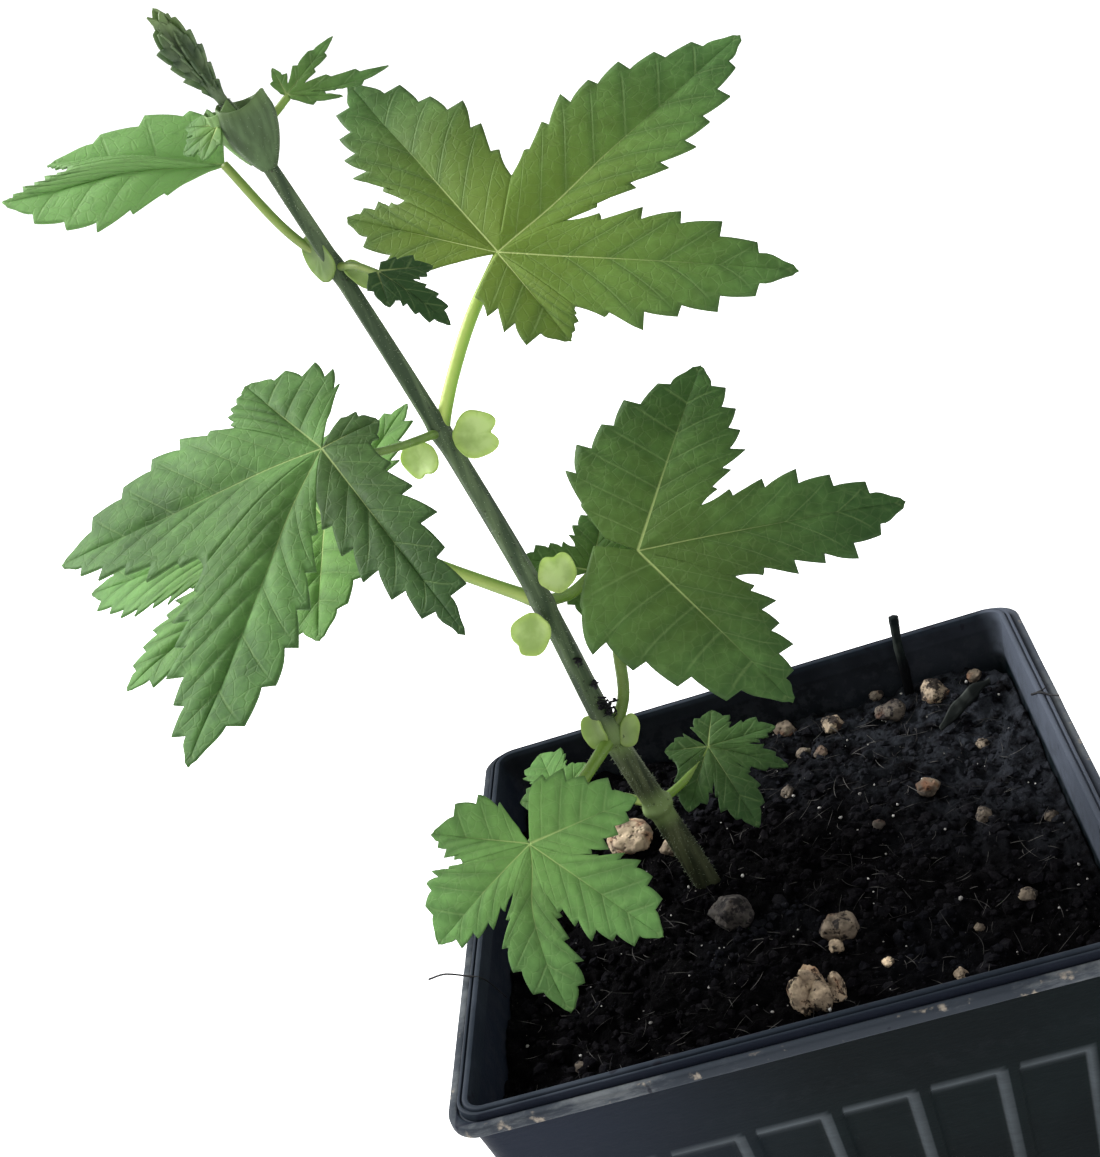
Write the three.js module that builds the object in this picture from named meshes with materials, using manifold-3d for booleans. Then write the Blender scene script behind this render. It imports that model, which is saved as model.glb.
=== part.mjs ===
// Young hop plant in a square nursery pot.
// Units are millimetres, +Z is up, and the origin is the middle of the pot's underside.
import * as THREE from 'three';
import Module from 'manifold-3d';

const wasm = await Module();
wasm.setup();

// ---------------------------------------------------------------- driving dimensions

const gap = 0.3; // clearance between pieces that touch
const weld = 0.01; // detail finer than this is smoothed away after a cut

const pot = {
  rimHalf: 45, // half of the 90 mm rim
  height: 95,
  footHalf: 32.5,
  bandHalf: 43.2, // wall just under the lip
  wall: 1.4,
  lipDrop: 2.6, // height of the lip's skirt
  stepDrop: 1, // the lip's outer ledge lies this far below the rim
  stepHalf: 43.6,
  mouthHalf: 42,
  cornerTop: 3.5,
  cornerFoot: 5,
  floor: 1.6,
  panelTop: 79.5, // recessed panels between the ribs
  panelFoot: 7,
  panelPitch: 11,
  panelWidth: 8.8,
  panelDepth: 0.6,
  panelsPerSide: 6,
  drainRadius: 3.5,
  drainRing: 19,
};

const soilTop = 86.5;

const stem = {
  // knots from the blind end of the soil hole up to the tip bud
  foot: [-9, 4.2, 72],
  collar: [-11.2, 4, 86.5],
  nodeA: [-13.8, 3.5, 101.2],
  nodeB: [-16.1, 3, 114.3],
  nodeC: [-18.3, 2.6, 137.1],
  nodeD: [-22.3, 1.9, 164.4],
  nodeE: [-26.6, 1.1, 189],
  nodeF: [-30.2, 0.5, 207.5],
  neck: [-31.2, 0.3, 211.8],
  radii: [2, 1.9, 1.75, 1.6, 1.35, 1.2, 1.05, 0.9, 0.7],
  sides: 9,
};

const blade = {
  thick: 0.7,
  fold: 0.06, // how much each half rises from the midrib, per mm of its width
};

// Each leaf: where the petiole meets the blade, the upper face's normal, the direction of
// the middle lobe, the depth of its teeth, its lobes and the notches round them, both
// counted anticlockwise from the petiole.
// lobe: [turn in degrees, length, droop, right half [width, place], left half [width, place],
//        teeth on each side, bow]
// notch: [turn in degrees, distance], one before, between and after the lobes
const leaves = [
  {
    name: 'a_left', node: 'nodeA', at: [-28.2, 10.9, 102.4], normal: [-0.1, -0.4, 0.91],
    toward: [-0.25, 0.88, 0.4], tooth: 0.6,
    lobes: [
      [-62, 6.5, 0, [2.6, 0.4], [2.4, 0.3], 3, 0],
      [0, 9.8, 0.6, [3.2, 0.55], [3.2, 0.55], 4, 0],
      [62, 6.5, 0, [2.4, 0.3], [2.6, 0.4], 3, 0],
    ],
    notches: [[-140, 1.6], [-30, 4.4], [30, 4.4], [140, 1.6]],
    petiole: { radius: 0.65, via: [[-20.9, 7.2, 103]] },
  },
  {
    name: 'a_right', node: 'nodeA', at: [-5.4, 14, 101.8], normal: [0.15, -0.36, 0.92],
    toward: [0.27, -0.88, -0.39], tooth: 0.55,
    lobes: [
      [-111, 6.4, 0, [2.2, 0.4], [1.8, 0.3], 3, 0],
      [-40, 11.3, 0.8, [2.6, 0.5], [2.3, 0.3], 3, 0],
      [2, 15.5, 1.5, [3, 0.4], [2.9, 0.45], 4, 0],
      [47, 12.1, 1, [2, 0.3], [1.7, 0.3], 3, 0],
      [81, 10.4, 0, [1.5, 0.3], [2.4, 0.4], 3, 0],
      [150, 6.9, 0, [2.6, 0.4], [2.4, 0.4], 3, 0],
    ],
    notches: [[-146, 2.2], [-72, 6], [-17, 6.8], [25, 5], [64, 6], [107, 4.4], [190, 2.2]],
    petiole: { radius: 0.6, via: [[-9, 9.4, 100.7]] },
  },
  {
    name: 'b_left', node: 'nodeB', at: [-28.3, -15.5, 112.4], normal: [-0.25, -0.71, 0.66],
    toward: [0.02, -0.68, -0.73], tooth: 0.9,
    lobes: [
      [-113, 15.5, 0, [5.2, 0.4], [2.8, 0.1], 4, 0],
      [-65, 19.5, 0.8, [6.7, 0.5], [3.6, 0.4], 5, 0],
      [-3, 22.1, 1.5, [5, 0.4], [4.2, 0.65], 5, -0.08],
      [41, 22.4, 0.8, [4.6, 0.4], [5.6, 0.5], 6, 0],
      [93, 16.4, 0, [4.1, 0.15], [7.4, 0.1], 5, 0],
    ],
    notches: [[-157, 2.7], [-93, 10.2], [-36, 6.6], [4, 7.5], [59, 7.5], [164, 6.6]],
    petiole: { radius: 0.85, via: [[-21.3, -7.6, 114]] },
  },
  {
    name: 'b_right', node: 'nodeB', at: [-3.7, 2.1, 140.2], normal: [0.08, -0.69, 0.71],
    toward: [0.99, -0.02, -0.12], tooth: 1.3,
    lobes: [
      [-55, 28.6, 2, [12.4, 0.26], [6.6, 0.15], 6, 0],
      [2, 35.6, 3, [6, 0.55], [5.6, 0.4], 6, 0],
      [65, 29, 2, [8, 0.42], [11.8, 0.3], 7, 0],
    ],
    notches: [[-197, 6], [-27, 13.4], [27, 10.3], [148, 4.8]],
    petiole: { radius: 0.85, via: [[-12.9, 4, 119], [-10.6, 4.9, 128]] },
  },
  {
    name: 'c_left', node: 'nodeC', at: [-44.8, 14.1, 153.7], normal: [-0.14, -0.3, 0.94],
    toward: [-0.97, 0.22, -0.07], tooth: 1.2,
    lobes: [
      [-116, 22.7, 0, [5, 0.4], [4.5, 0.3], 5, 0],
      [-56, 31, 1, [7, 0.4], [7, 0.4], 6, 0],
      [-3, 43.5, 1.5, [8.5, 0.4], [7.6, 0.5], 8, 0],
      [35, 36, 2, [6.5, 0.3], [7, 0.4], 7, 0],
      [99, 23.6, 1, [6.5, 0.3], [7, 0.4], 5, 0],
    ],
    notches: [[-150, 4.5], [-88, 12], [-30, 15], [17, 19], [68, 12.5], [145, 4.5]],
    petiole: { radius: 0.85, via: [[-28.7, 6.8, 143.4], [-38.5, 10.6, 150]] },
  },
  {
    name: 'c_right', node: 'nodeC', at: [-12.5, 15.8, 133.4], normal: [0.2, -0.5, 0.84],
    toward: [0.98, 0.02, -0.22], tooth: 0.7,
    lobes: [
      [-100, 8, 0, [2.8, 0.4], [2.4, 0.3], 3, 0],
      [-38, 13.5, 0.8, [3.8, 0.4], [3.4, 0.4], 4, 0],
      [20, 17, 1, [4.4, 0.4], [4.2, 0.4], 5, 0],
      [78, 12, 0.6, [3.6, 0.4], [3.6, 0.4], 4, 0],
      [160, 11, 0, [3.2, 0.3], [2.6, 0.4], 4, 0],
    ],
    notches: [[-140, 2.5], [-68, 6], [-9, 8], [48, 8], [115, 5], [196, 2.5]],
    petiole: { radius: 0.8, via: [[-15.4, 9.5, 134]] },
  },
  {
    name: 'd_left', node: 'nodeD', at: [-33.1, -14.3, 171.9], normal: [-0.06, -0.37, 0.93],
    toward: [-0.35, -0.86, -0.37], tooth: 1.4,
    lobes: [
      [-128, 19.5, -1, [7.8, 0.35], [5, 0.1], 5, 0],
      [-70, 37.6, 2, [10.6, 0.35], [11, 0.05], 6, 0],
      [-4, 43.1, 3, [7.8, 0.2], [7.2, 0.6], 7, 0],
      [44, 36.2, 4, [4.6, 0.2], [4.2, 0.4], 6, 0],
      [128, 7.6, 0.6, [3, 0.3], [3, 0.3], 2, 0],
    ],
    notches: [[-172, 6], [-108, 14], [-29, 20], [17, 9.2], [92, 6.6], [170, 5.2]],
    petiole: { radius: 0.9, via: [[-28.6, -8.4, 167.8]] },
  },
  {
    name: 'd_right', node: 'nodeD', at: [-8.7, 12.4, 181.4], normal: [0.06, -0.59, 0.81],
    toward: [0.85, 0.46, 0.27], tooth: 1.4,
    lobes: [
      [-100, 17.3, 1, [4.6, 0.45], [2.7, 0.1], 4, 0],
      [-55, 38.8, 2, [8.8, 0.25], [6.2, 0.4], 6, 0],
      [2, 46, 2, [8, 0.45], [10.2, 0.4], 8, 0],
      [80, 42.5, 2, [8.6, 0.4], [6.6, 0.4], 6, 0],
      [111, 24, 1, [3.2, 0.1], [5.4, 0.3], 4, 0],
    ],
    notches: [[-155, 7.4], [-88, 14.5], [-19, 9.3], [39, 12.3], [97, 17], [146, 5.4]],
    petiole: { radius: 0.85, via: [[-18.9, 4.2, 169.8], [-14.4, 8.2, 175.6]] },
  },
  {
    name: 'e_left', node: 'nodeE', at: [-36.1, 7.5, 204.4], normal: [0.25, -0.55, 0.8],
    toward: [-0.97, -0.16, 0.19], tooth: 0.7,
    lobes: [
      [-17, 23.1, 1.5, [8, 0.2], [1.6, 0.05], 4, 0],
      [-5, 28.2, 2.5, [1.6, 0.05], [7.4, 0.5], 6, 0],
    ],
    notches: [[-95, 6.5], [-11, 19.5], [20, 3.4]],
    petiole: { radius: 0.6, via: [[-31, 3.4, 194.5]] },
  },
  {
    name: 'e_right', node: 'nodeE', at: [-20.8, -4, 187.7], normal: [0.35, -0.5, 0.8],
    toward: [0.61, -0.53, -0.59], tooth: 0.5,
    lobes: [
      [-34, 6, 0, [1.5, 0.4], [1.2, 0.3], 2, 0],
      [2, 11.4, 1, [1.7, 0.4], [1.9, 0.4], 4, 0],
      [52, 6.6, 0, [1.7, 0.3], [1.7, 0.4], 3, 0],
    ],
    notches: [[-115, 1.3], [-20, 4.4], [24, 4.2], [125, 1.6]],
    petiole: { radius: 0.5, via: [[-23.4, -2, 188.8]] },
  },
  {
    name: 'f_left', node: 'nodeF', at: [-32.6, -1.7, 209.6], normal: [-0.31, -0.62, 0.72],
    toward: [-0.94, 0.11, -0.31], tooth: 0.4,
    lobes: [
      [-38, 5.4, 0, [1.7, 0.4], [0.9, 0.3], 2, 0],
      [0, 5.6, 0, [1, 0.4], [1.2, 0.4], 2, 0],
      [44, 4.4, 0, [1.1, 0.3], [1.6, 0.4], 2, 0],
    ],
    notches: [[-120, 0.9], [-18, 3.6], [22, 3.4], [120, 0.9]],
    petiole: { radius: 0.45, via: [[-31.5, -0.9, 208.3]] },
  },
  {
    name: 'f_right', node: 'nodeF', at: [-24.8, 4.5, 209.6], normal: [0.2, -0.61, 0.76],
    toward: [0.98, 0.16, -0.14], tooth: 0.35,
    lobes: [
      [-18, 6.8, 0, [0.9, 0.4], [0.3, 0.3], 2, 0],
      [4, 12.7, 0, [0.5, 0.5], [1.6, 0.4], 3, -0.08],
      [48, 10.4, 0, [0.8, 0.4], [1.4, 0.4], 3, 0],
      [103, 4.9, 0, [0.8, 0.4], [0.8, 0.4], 2, 0],
    ],
    notches: [[-60, 0.9], [-8, 2.8], [25, 2.4], [75, 1.6], [150, 0.9]],
    petiole: { radius: 0.5, via: [[-27.4, 2.6, 208]] },
  },
];

// Papery scales beside the knots of the stem: place of the base, facing, direction,
// length and half-width.
const scales = [
  ['b_left', [-17.9, 0.8, 114.4], [-0.35, -0.9, 0.2], [-0.05, 0, 1], 6.2, 1.5],
  ['b_right', [-14.2, 1.2, 112.6], [0.45, -0.85, 0.25], [0.6, 0.1, 0.8], 6.2, 1.4],
  ['c_upper', [-16.6, 1.1, 138.9], [0.1, -0.9, 0.4], [0.62, 0, 0.78], 5.5, 2.4],
  ['c_lower', [-18.8, 0.5, 136.4], [-0.1, -0.85, 0.5], [-0.66, -0.36, -0.66], 6, 2.6],
  ['d_right', [-20.7, 0.5, 164.2], [0.1, -0.9, 0.4], [0.92, 0, -0.36], 6.2, 2.9],
  ['d_left', [-23.7, 0.1, 163.6], [-0.1, -0.8, 0.6], [-0.85, -0.4, -0.35], 4.6, 2.7],
  ['e_left', [-27.2, -0.2, 188.8], [-0.5, -0.8, 0.3], [-0.5, -0.1, 0.86], 6.8, 1.9],
  ['e_right', [-25.2, 0, 189.4], [0.4, -0.85, 0.35], [0.62, -0.2, -0.75], 5, 1.4],
  ['f_left', [-31, -0.6, 205.6], [-0.4, -0.88, 0.2], [-0.24, 0, 0.97], 6, 1.4],
  ['f_right', [-28.7, -0.6, 204.6], [0.35, -0.9, 0.25], [0.5, 0.1, 0.86], 6.8, 1.9],
];

const tipBud = {
  // furled leaves at the growing tip: the path of each and its radii
  shoots: [
    [[[-31.4, 0.3, 212.3], [-32, 0.1, 215.3], [-33.1, -0.1, 219.9], [-34.3, -0.2, 224.6]],
      [0.7, 1.5, 1.7, 1.3, 0.3]],
    [[[-31.6, 0.2, 212.8], [-33.1, -0.3, 216.6], [-34.9, -0.6, 220.4], [-35.9, -0.6, 223.3]],
      [0.5, 1.1, 1.2, 0.8, 0.3]],
    [[[-31.4, 0.4, 212.8], [-31.3, 0.4, 215.8], [-31.9, 0.2, 219], [-32.8, 0, 222.2]],
      [0.5, 0.9, 1, 0.8, 0.3]],
  ],
};

const twig = { foot: [24.6, 39.6, 82], head: [26.2, 40.2, 99.9], radii: [0.7, 0.8, 0.7, 0.75] };

// Stones lying in the soil, each of one or more joined lumps:
// [x, y, width, length, height, turn in degrees]
const stones = [
  [[-22.2, 18.8, 6.6, 7.8, 5.4, 20]],
  [[-15.9, 13.9, 3, 3.4, 2.8, 0]],
  [[-7.8, -6.9, 5.6, 6.6, 4.6, 35]],
  [[6.4, -16.3, 4.2, 4.9, 4, 70]],
  [
    [2, -27.8, 3.2, 3.6, 6.2, 20],
    [-0.3, -29.2, 3.6, 4, 4.6, 0],
    [2.4, -30.2, 3.8, 3.6, 4, 0],
    [5, -28.6, 2.2, 2.4, 4.6, 0],
    [3.4, -29.4, 5.6, 3, 2.6, -15],
  ],
  [[20, -31.3, 1.8, 2.2, 1.6, 0]],
  [[23.4, 10.5, 4, 4.8, 3.4, 50]],
  [[28.8, 35.6, 4, 4.8, 4.2, 15]],
  [[21.4, 34, 3.8, 4.6, 3.2, 80]],
  [[12.1, 35.4, 3.2, 3.6, 2.8, 40]],
  [[29.5, 0.3, 2.2, 2.6, 2, 10]],
];
const stoneSunk = 0.3; // part of a stone's height below the soil
const soilRelief = 0.8; // height of the soil's lumps

// ---------------------------------------------------------------- vectors and closed meshes

const vec = (list) => new THREE.Vector3(...list);
const radians = THREE.MathUtils.degToRad;

// Collects triangles, sharing corners that lie within a ten-thousandth of a millimetre.
class Skin {
  constructor() {
    this.points = [];
    this.faces = [];
    this.known = new Map();
  }

  point(p) {
    const key = [p.x, p.y, p.z].map((value) => Math.round(value * 1e4)).join();
    if (!this.known.has(key)) {
      this.known.set(key, this.points.length);
      this.points.push(p.clone());
    }
    return this.known.get(key);
  }

  face(a, b, c) {
    if (a !== b && b !== c && c !== a) {
      this.faces.push([a, b, c]);
    }
  }

  quad(a, b, c, d) {
    this.face(a, b, c);
    this.face(a, c, d);
  }

  solid() {
    const vertProperties = new Float32Array(this.points.flatMap((p) => [p.x, p.y, p.z]));
    const triVerts = new Uint32Array(this.faces.flat());
    return new wasm.Manifold(new wasm.Mesh({ numProp: 3, vertProperties, triVerts }));
  }
}

// Keeps only the largest body when a cut leaves loose scraps.
function largest(solid) {
  const bodies = solid.decompose();
  return bodies.reduce((best, body) => (body.volume() > best.volume() ? body : best));
}

const group = new THREE.Group();

function addPiece(name, solid, colour, roughness) {
  const mesh = largest(solid).simplify(weld).getMesh();
  const geometry = new THREE.BufferGeometry();
  geometry.setAttribute('position', new THREE.BufferAttribute(mesh.vertProperties, 3));
  geometry.setIndex(new THREE.BufferAttribute(mesh.triVerts, 1));
  geometry.computeVertexNormals();
  const material = new THREE.MeshStandardMaterial({ color: colour, roughness, metalness: 0 });
  const piece = new THREE.Mesh(geometry, material);
  piece.name = name;
  group.add(piece);
}

// Joins closed rings of equal count, from the lowest to the highest, and caps both ends.
function ringStack(rings) {
  const skin = new Skin();
  const ids = rings.map((ring) => ring.map((p) => skin.point(p)));
  const count = rings[0].length;
  for (let level = 0; level + 1 < ids.length; level += 1) {
    for (let i = 0; i < count; i += 1) {
      const j = (i + 1) % count;
      skin.quad(ids[level][i], ids[level][j], ids[level + 1][j], ids[level + 1][i]);
    }
  }
  const first = ids[0];
  const last = ids[ids.length - 1];
  for (let i = 1; i + 1 < count; i += 1) {
    skin.face(first[0], first[i + 1], first[i]);
    skin.face(last[0], last[i], last[i + 1]);
  }
  return skin.solid();
}

// ---------------------------------------------------------------- pot

const cornerSteps = 4;

function squareRing(half, corner, z) {
  const ring = [];
  for (let quarter = 0; quarter < 4; quarter += 1) {
    for (let step = 0; step <= cornerSteps; step += 1) {
      const turn = (quarter + step / cornerSteps) * Math.PI / 2;
      const side = quarter * Math.PI / 2 + Math.PI / 4;
      const x = Math.sign(Math.cos(side)) * (half - corner) + corner * Math.cos(turn);
      const y = Math.sign(Math.sin(side)) * (half - corner) + corner * Math.sin(turn);
      ring.push(new THREE.Vector3(x, y, z));
    }
  }
  return ring;
}

const skirtZ = pot.height - pot.lipDrop;
const wallHalf = (z) => THREE.MathUtils.lerp(pot.footHalf, pot.bandHalf, z / skirtZ);

// Four copies of a shape, a quarter turn apart.
function onFourSides(solid) {
  return [90, 180, 270].reduce((all, turn) => all.add(solid.rotate([0, 0, turn])), solid);
}

function panelCut(index) {
  const middle = (index - (pot.panelsPerSide - 1) / 2) * pot.panelPitch;
  const rings = [pot.panelFoot, pot.panelTop].map((z) => {
    const shrink = wallHalf(z) / wallHalf(pot.panelTop);
    const left = (middle - pot.panelWidth / 2) * shrink;
    const right = (middle + pot.panelWidth / 2) * shrink;
    const inner = -wallHalf(z) + pot.panelDepth;
    const outer = -wallHalf(z) - 1;
    return [[left, outer], [right, outer], [right, inner], [left, inner]]
      .map(([x, y]) => new THREE.Vector3(x, y, z));
  });
  return ringStack(rings);
}

function buildPot() {
  const outside = ringStack([
    squareRing(wallHalf(0), pot.cornerFoot, 0),
    squareRing(pot.bandHalf, pot.cornerTop, skirtZ),
    squareRing(pot.rimHalf, pot.cornerTop + 1, skirtZ),
    squareRing(pot.rimHalf, pot.cornerTop + 1, pot.height - pot.stepDrop),
    squareRing(pot.stepHalf, pot.cornerTop, pot.height - pot.stepDrop),
    squareRing(pot.stepHalf, pot.cornerTop, pot.height),
  ]);
  const inside = ringStack([
    squareRing(wallHalf(pot.floor) - pot.wall, pot.cornerFoot - pot.wall, pot.floor),
    squareRing(pot.mouthHalf, pot.cornerTop - pot.wall, skirtZ),
    squareRing(pot.mouthHalf, pot.cornerTop - pot.wall, pot.height + 1),
  ]);
  let panels = panelCut(0);
  for (let index = 1; index < pot.panelsPerSide; index += 1) {
    panels = panels.add(panelCut(index));
  }
  const drain = ringStack([-1, pot.floor + 1].map((z) => {
    const middle = new THREE.Vector3(pot.drainRing, 0, z);
    return circleRing(middle, new THREE.Vector3(0, 0, 1), pot.drainRadius, 14);
  }));
  return outside.subtract(inside).subtract(onFourSides(panels)).subtract(onFourSides(drain));
}

function circleRing(middle, axis, radius, sides) {
  const across = new THREE.Vector3(0, 1, 0);
  const first = new THREE.Vector3().crossVectors(across, axis).normalize();
  const second = new THREE.Vector3().crossVectors(axis, first).normalize();
  return Array.from({ length: sides }, (_, i) => {
    const turn = 2 * Math.PI * i / sides;
    return middle.clone()
      .addScaledVector(first, radius * Math.cos(turn))
      .addScaledVector(second, radius * Math.sin(turn));
  });
}

// ---------------------------------------------------------------- stems and stalks

// A round tube of changing radius along a smooth curve through the given knots.
function stalk(knots, radii, sides, steps, grow = 0) {
  const curve = new THREE.CatmullRomCurve3(knots, false, 'centripetal');
  const rings = [];
  for (let i = 0; i <= steps; i += 1) {
    const t = i / steps;
    const place = t * (radii.length - 1);
    const low = Math.min(Math.floor(place), radii.length - 2);
    const radius = THREE.MathUtils.lerp(radii[low], radii[low + 1], place - low) + grow;
    rings.push(circleRing(curve.getPoint(t), curve.getTangent(t), radius, sides));
  }
  return ringStack(rings);
}

const stemKnots = [
  stem.foot, stem.collar, stem.nodeA, stem.nodeB, stem.nodeC, stem.nodeD, stem.nodeE,
  stem.nodeF, stem.neck,
].map(vec);
const stemSteps = 32;
const stemSolid = stalk(stemKnots, stem.radii, stem.sides, stemSteps);
const stemClear = stalk(stemKnots, stem.radii, stem.sides, stemSteps, gap);

// ---------------------------------------------------------------- blades

const smooth = (edge, t) => THREE.MathUtils.smoothstep(t, 0, edge);

// Half-width of a lobe at t between its notch (0) and its tip (1).
function halfWidth(t, notchWidth, width, place) {
  if (t < place) {
    return notchWidth + (width - notchWidth) * Math.sin(Math.PI / 2 * t / place);
  }
  const rest = (t - place) / (1 - place);
  return width * (1 - rest ** 1.6);
}

// One half of a lobe as rows from the midrib to the toothed margin, in the leaf's own plane:
// x along the middle lobe, y to its left, z along the normal. The first row runs from the
// junction to the notch, and the next lobe's half starts on the same row.
function halfLobe(leaf, index, side) {
  const [turn, length, droop, right, left, teeth, bow] = leaf.lobes[index];
  const [notchTurn, notchReach] = leaf.notches[side < 0 ? index : index + 1];
  const [width, place] = side < 0 ? right : left;
  const neighbour = leaf.lobes[side < 0 ? index - 1 : index + 1];
  const sag = droop / length ** 2;
  const sharedSag = neighbour ? (sag + neighbour[2] / neighbour[1] ** 2) / 2 : sag;
  const between = radians(notchTurn - turn);
  const startAlong = notchReach * Math.cos(between);
  const startOut = Math.abs(notchReach * Math.sin(between));
  const rows = [];
  for (let step = 0; step <= 2 * teeth; step += 1) {
    const isTip = step % 2 === 1;
    const t = isTip ? (Math.floor(step / 2) + 0.8) / teeth : step / (2 * teeth);
    const bite = isTip ? leaf.tooth * (1 - 0.4 * t) * smooth(0.3, t) : 0;
    const along = startAlong + (length - startAlong) * t + bite * 0.5;
    const out = halfWidth(t, startOut, width, place) + bite;
    const marginAlong = Math.min(along, length);
    const ribAlong = length * t * (1 - 0.35 * (1 - t));
    const span = Math.hypot(marginAlong - ribAlong, out);
    const row = [];
    for (let v = 0; v <= 1; v += 1) {
      const a = THREE.MathUtils.lerp(ribAlong, marginAlong, v);
      const bend = bow * 4 * a * (1 - a / length) * smooth(0.5, t);
      const b = side * out * v + bend;
      const x = a * Math.cos(radians(turn)) - b * Math.sin(radians(turn));
      const y = a * Math.sin(radians(turn)) + b * Math.cos(radians(turn));
      const ownSag = Math.max(smooth(0.4, t), 1 - v);
      const drop = THREE.MathUtils.lerp(sharedSag, sag, ownSag) * (x * x + y * y);
      const rise = span * (leaf.fold ?? blade.fold) * v;
      row.push(new THREE.Vector3(x, y, rise - drop));
    }
    rows.push(row);
  }
  return rows;
}

// A closed blade: the upper face from its half lobes, the lower face a thickness behind it
// with the same triangles, and a wall round the margin.
function bladeSolid(leaf) {
  const upper = new Skin();
  leaf.lobes.forEach((_, index) => {
    [-1, 1].forEach((side) => {
      const ids = halfLobe(leaf, index, side).map((row) => row.map((p) => upper.point(p)));
      for (let i = 0; i + 1 < ids.length; i += 1) {
        for (let j = 0; j + 1 < ids[i].length; j += 1) {
          const corners = [ids[i][j], ids[i + 1][j], ids[i + 1][j + 1], ids[i][j + 1]];
          if (side < 0) {
            corners.reverse();
          }
          upper.quad(...corners);
        }
      }
    });
  });
  const normal = vec(leaf.normal).normalize();
  const ahead = vec(leaf.toward).projectOnPlane(normal).normalize();
  const aside = new THREE.Vector3().crossVectors(normal, ahead);
  const frame = new THREE.Matrix4().makeBasis(ahead, aside, normal).setPosition(vec(leaf.at));

  const normals = upper.points.map(() => new THREE.Vector3());
  upper.faces.forEach((face) => {
    const [p, q, r] = face.map((id) => upper.points[id]);
    const across = new THREE.Vector3().crossVectors(q.clone().sub(p), r.clone().sub(p));
    face.forEach((id) => normals[id].add(across));
  });
  const closed = new Skin();
  const place = (p, id, lift) => closed.point(
    p.clone().addScaledVector(normals[id].clone().normalize(), lift).applyMatrix4(frame),
  );
  const top = upper.points.map((p, id) => place(p, id, blade.thick / 2));
  const bottom = upper.points.map((p, id) => place(p, id, -blade.thick / 2));
  const edges = new Map();
  upper.faces.forEach(([a, b, c]) => {
    closed.face(top[a], top[b], top[c]);
    closed.face(bottom[c], bottom[b], bottom[a]);
    [[a, b], [b, c], [c, a]].forEach(([from, to]) => edges.set(`${from},${to}`, [from, to]));
  });
  edges.forEach(([from, to]) => {
    if (!edges.has(`${to},${from}`)) {
      closed.quad(top[to], top[from], bottom[from], bottom[to]);
    }
  });
  return closed.solid();
}

// ---------------------------------------------------------------- petioles and scales

function petioleKnots(leaf) {
  const { radius, via } = leaf.petiole;
  const normal = vec(leaf.normal).normalize();
  const under = blade.thick / 2 + gap + radius * 0.4;
  return [vec(stem[leaf.node]), ...via.map(vec), vec(leaf.at).addScaledVector(normal, -under)];
}

function petioleSolid(leaf, grow) {
  const { radius } = leaf.petiole;
  const knots = petioleKnots(leaf);
  const radii = [radius * 1.35, radius, radius, radius * 0.9];
  return stalk(knots, radii, 6, 5 * (knots.length - 1), grow);
}

// A scale is a small blade of one toothless lobe, hollowed towards the stem.
function scaleShape([name, at, normal, toward, length, halfWide]) {
  return {
    name, at, normal, toward, tooth: 0, fold: -0.25,
    lobes: [[0, length, 0, [halfWide, 0.45], [halfWide, 0.45], 3, 0]],
    notches: [[-90, halfWide * 0.5], [90, halfWide * 0.5]],
  };
}

// ---------------------------------------------------------------- soil and stones

// A repeatable source of numbers between 0 and 1.
function dice(seed) {
  let state = seed;
  return () => {
    state = (state * 16807) % 2147483647;
    return state / 2147483647;
  };
}

// A lump: an icosahedron stretched to its three sizes, with its corners pushed about.
function lumpSolid([x, y, width, length, height, turn], seed, grow) {
  const roll = dice(seed);
  const ball = new THREE.IcosahedronGeometry(1, 1);
  const source = ball.getAttribute('position');
  const pushes = new Map();
  const skin = new Skin();
  const ids = [];
  for (let i = 0; i < source.count; i += 1) {
    const p = new THREE.Vector3().fromBufferAttribute(source, i);
    const key = p.toArray().map((value) => value.toFixed(3)).join();
    if (!pushes.has(key)) {
      pushes.set(key, 0.86 + 0.28 * roll());
    }
    const push = pushes.get(key);
    const size = [width, length, height].map((value) => value / 2 * push + grow);
    p.set(p.x * size[0], p.y * size[1], p.z * size[2]);
    p.applyAxisAngle(new THREE.Vector3(0, 0, 1), radians(turn));
    p.add(new THREE.Vector3(x, y, soilTop + height * (0.5 - stoneSunk)));
    ids.push(skin.point(p));
  }
  for (let i = 0; i < ids.length; i += 3) {
    skin.face(ids[i], ids[i + 1], ids[i + 2]);
  }
  return skin.solid();
}

function stoneSolid(lumps, index, grow) {
  return lumps
    .map((lump, number) => lumpSolid(lump, 97 + 31 * index + 7 * number, grow))
    .reduce((all, lump) => all.add(lump));
}

// Lumps of the soil: a few long waves and a finer one laid over each other.
function soilHeight(x, y) {
  const waves = Math.sin(x * 0.21 + 1.3) * Math.cos(y * 0.17 - 0.4)
    + 0.6 * Math.sin(x * 0.52 - y * 0.43 + 2.1)
    + 0.5 * Math.cos(x * 0.83 + y * 0.71);
  return soilTop + soilRelief * waves * 0.5;
}

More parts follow.
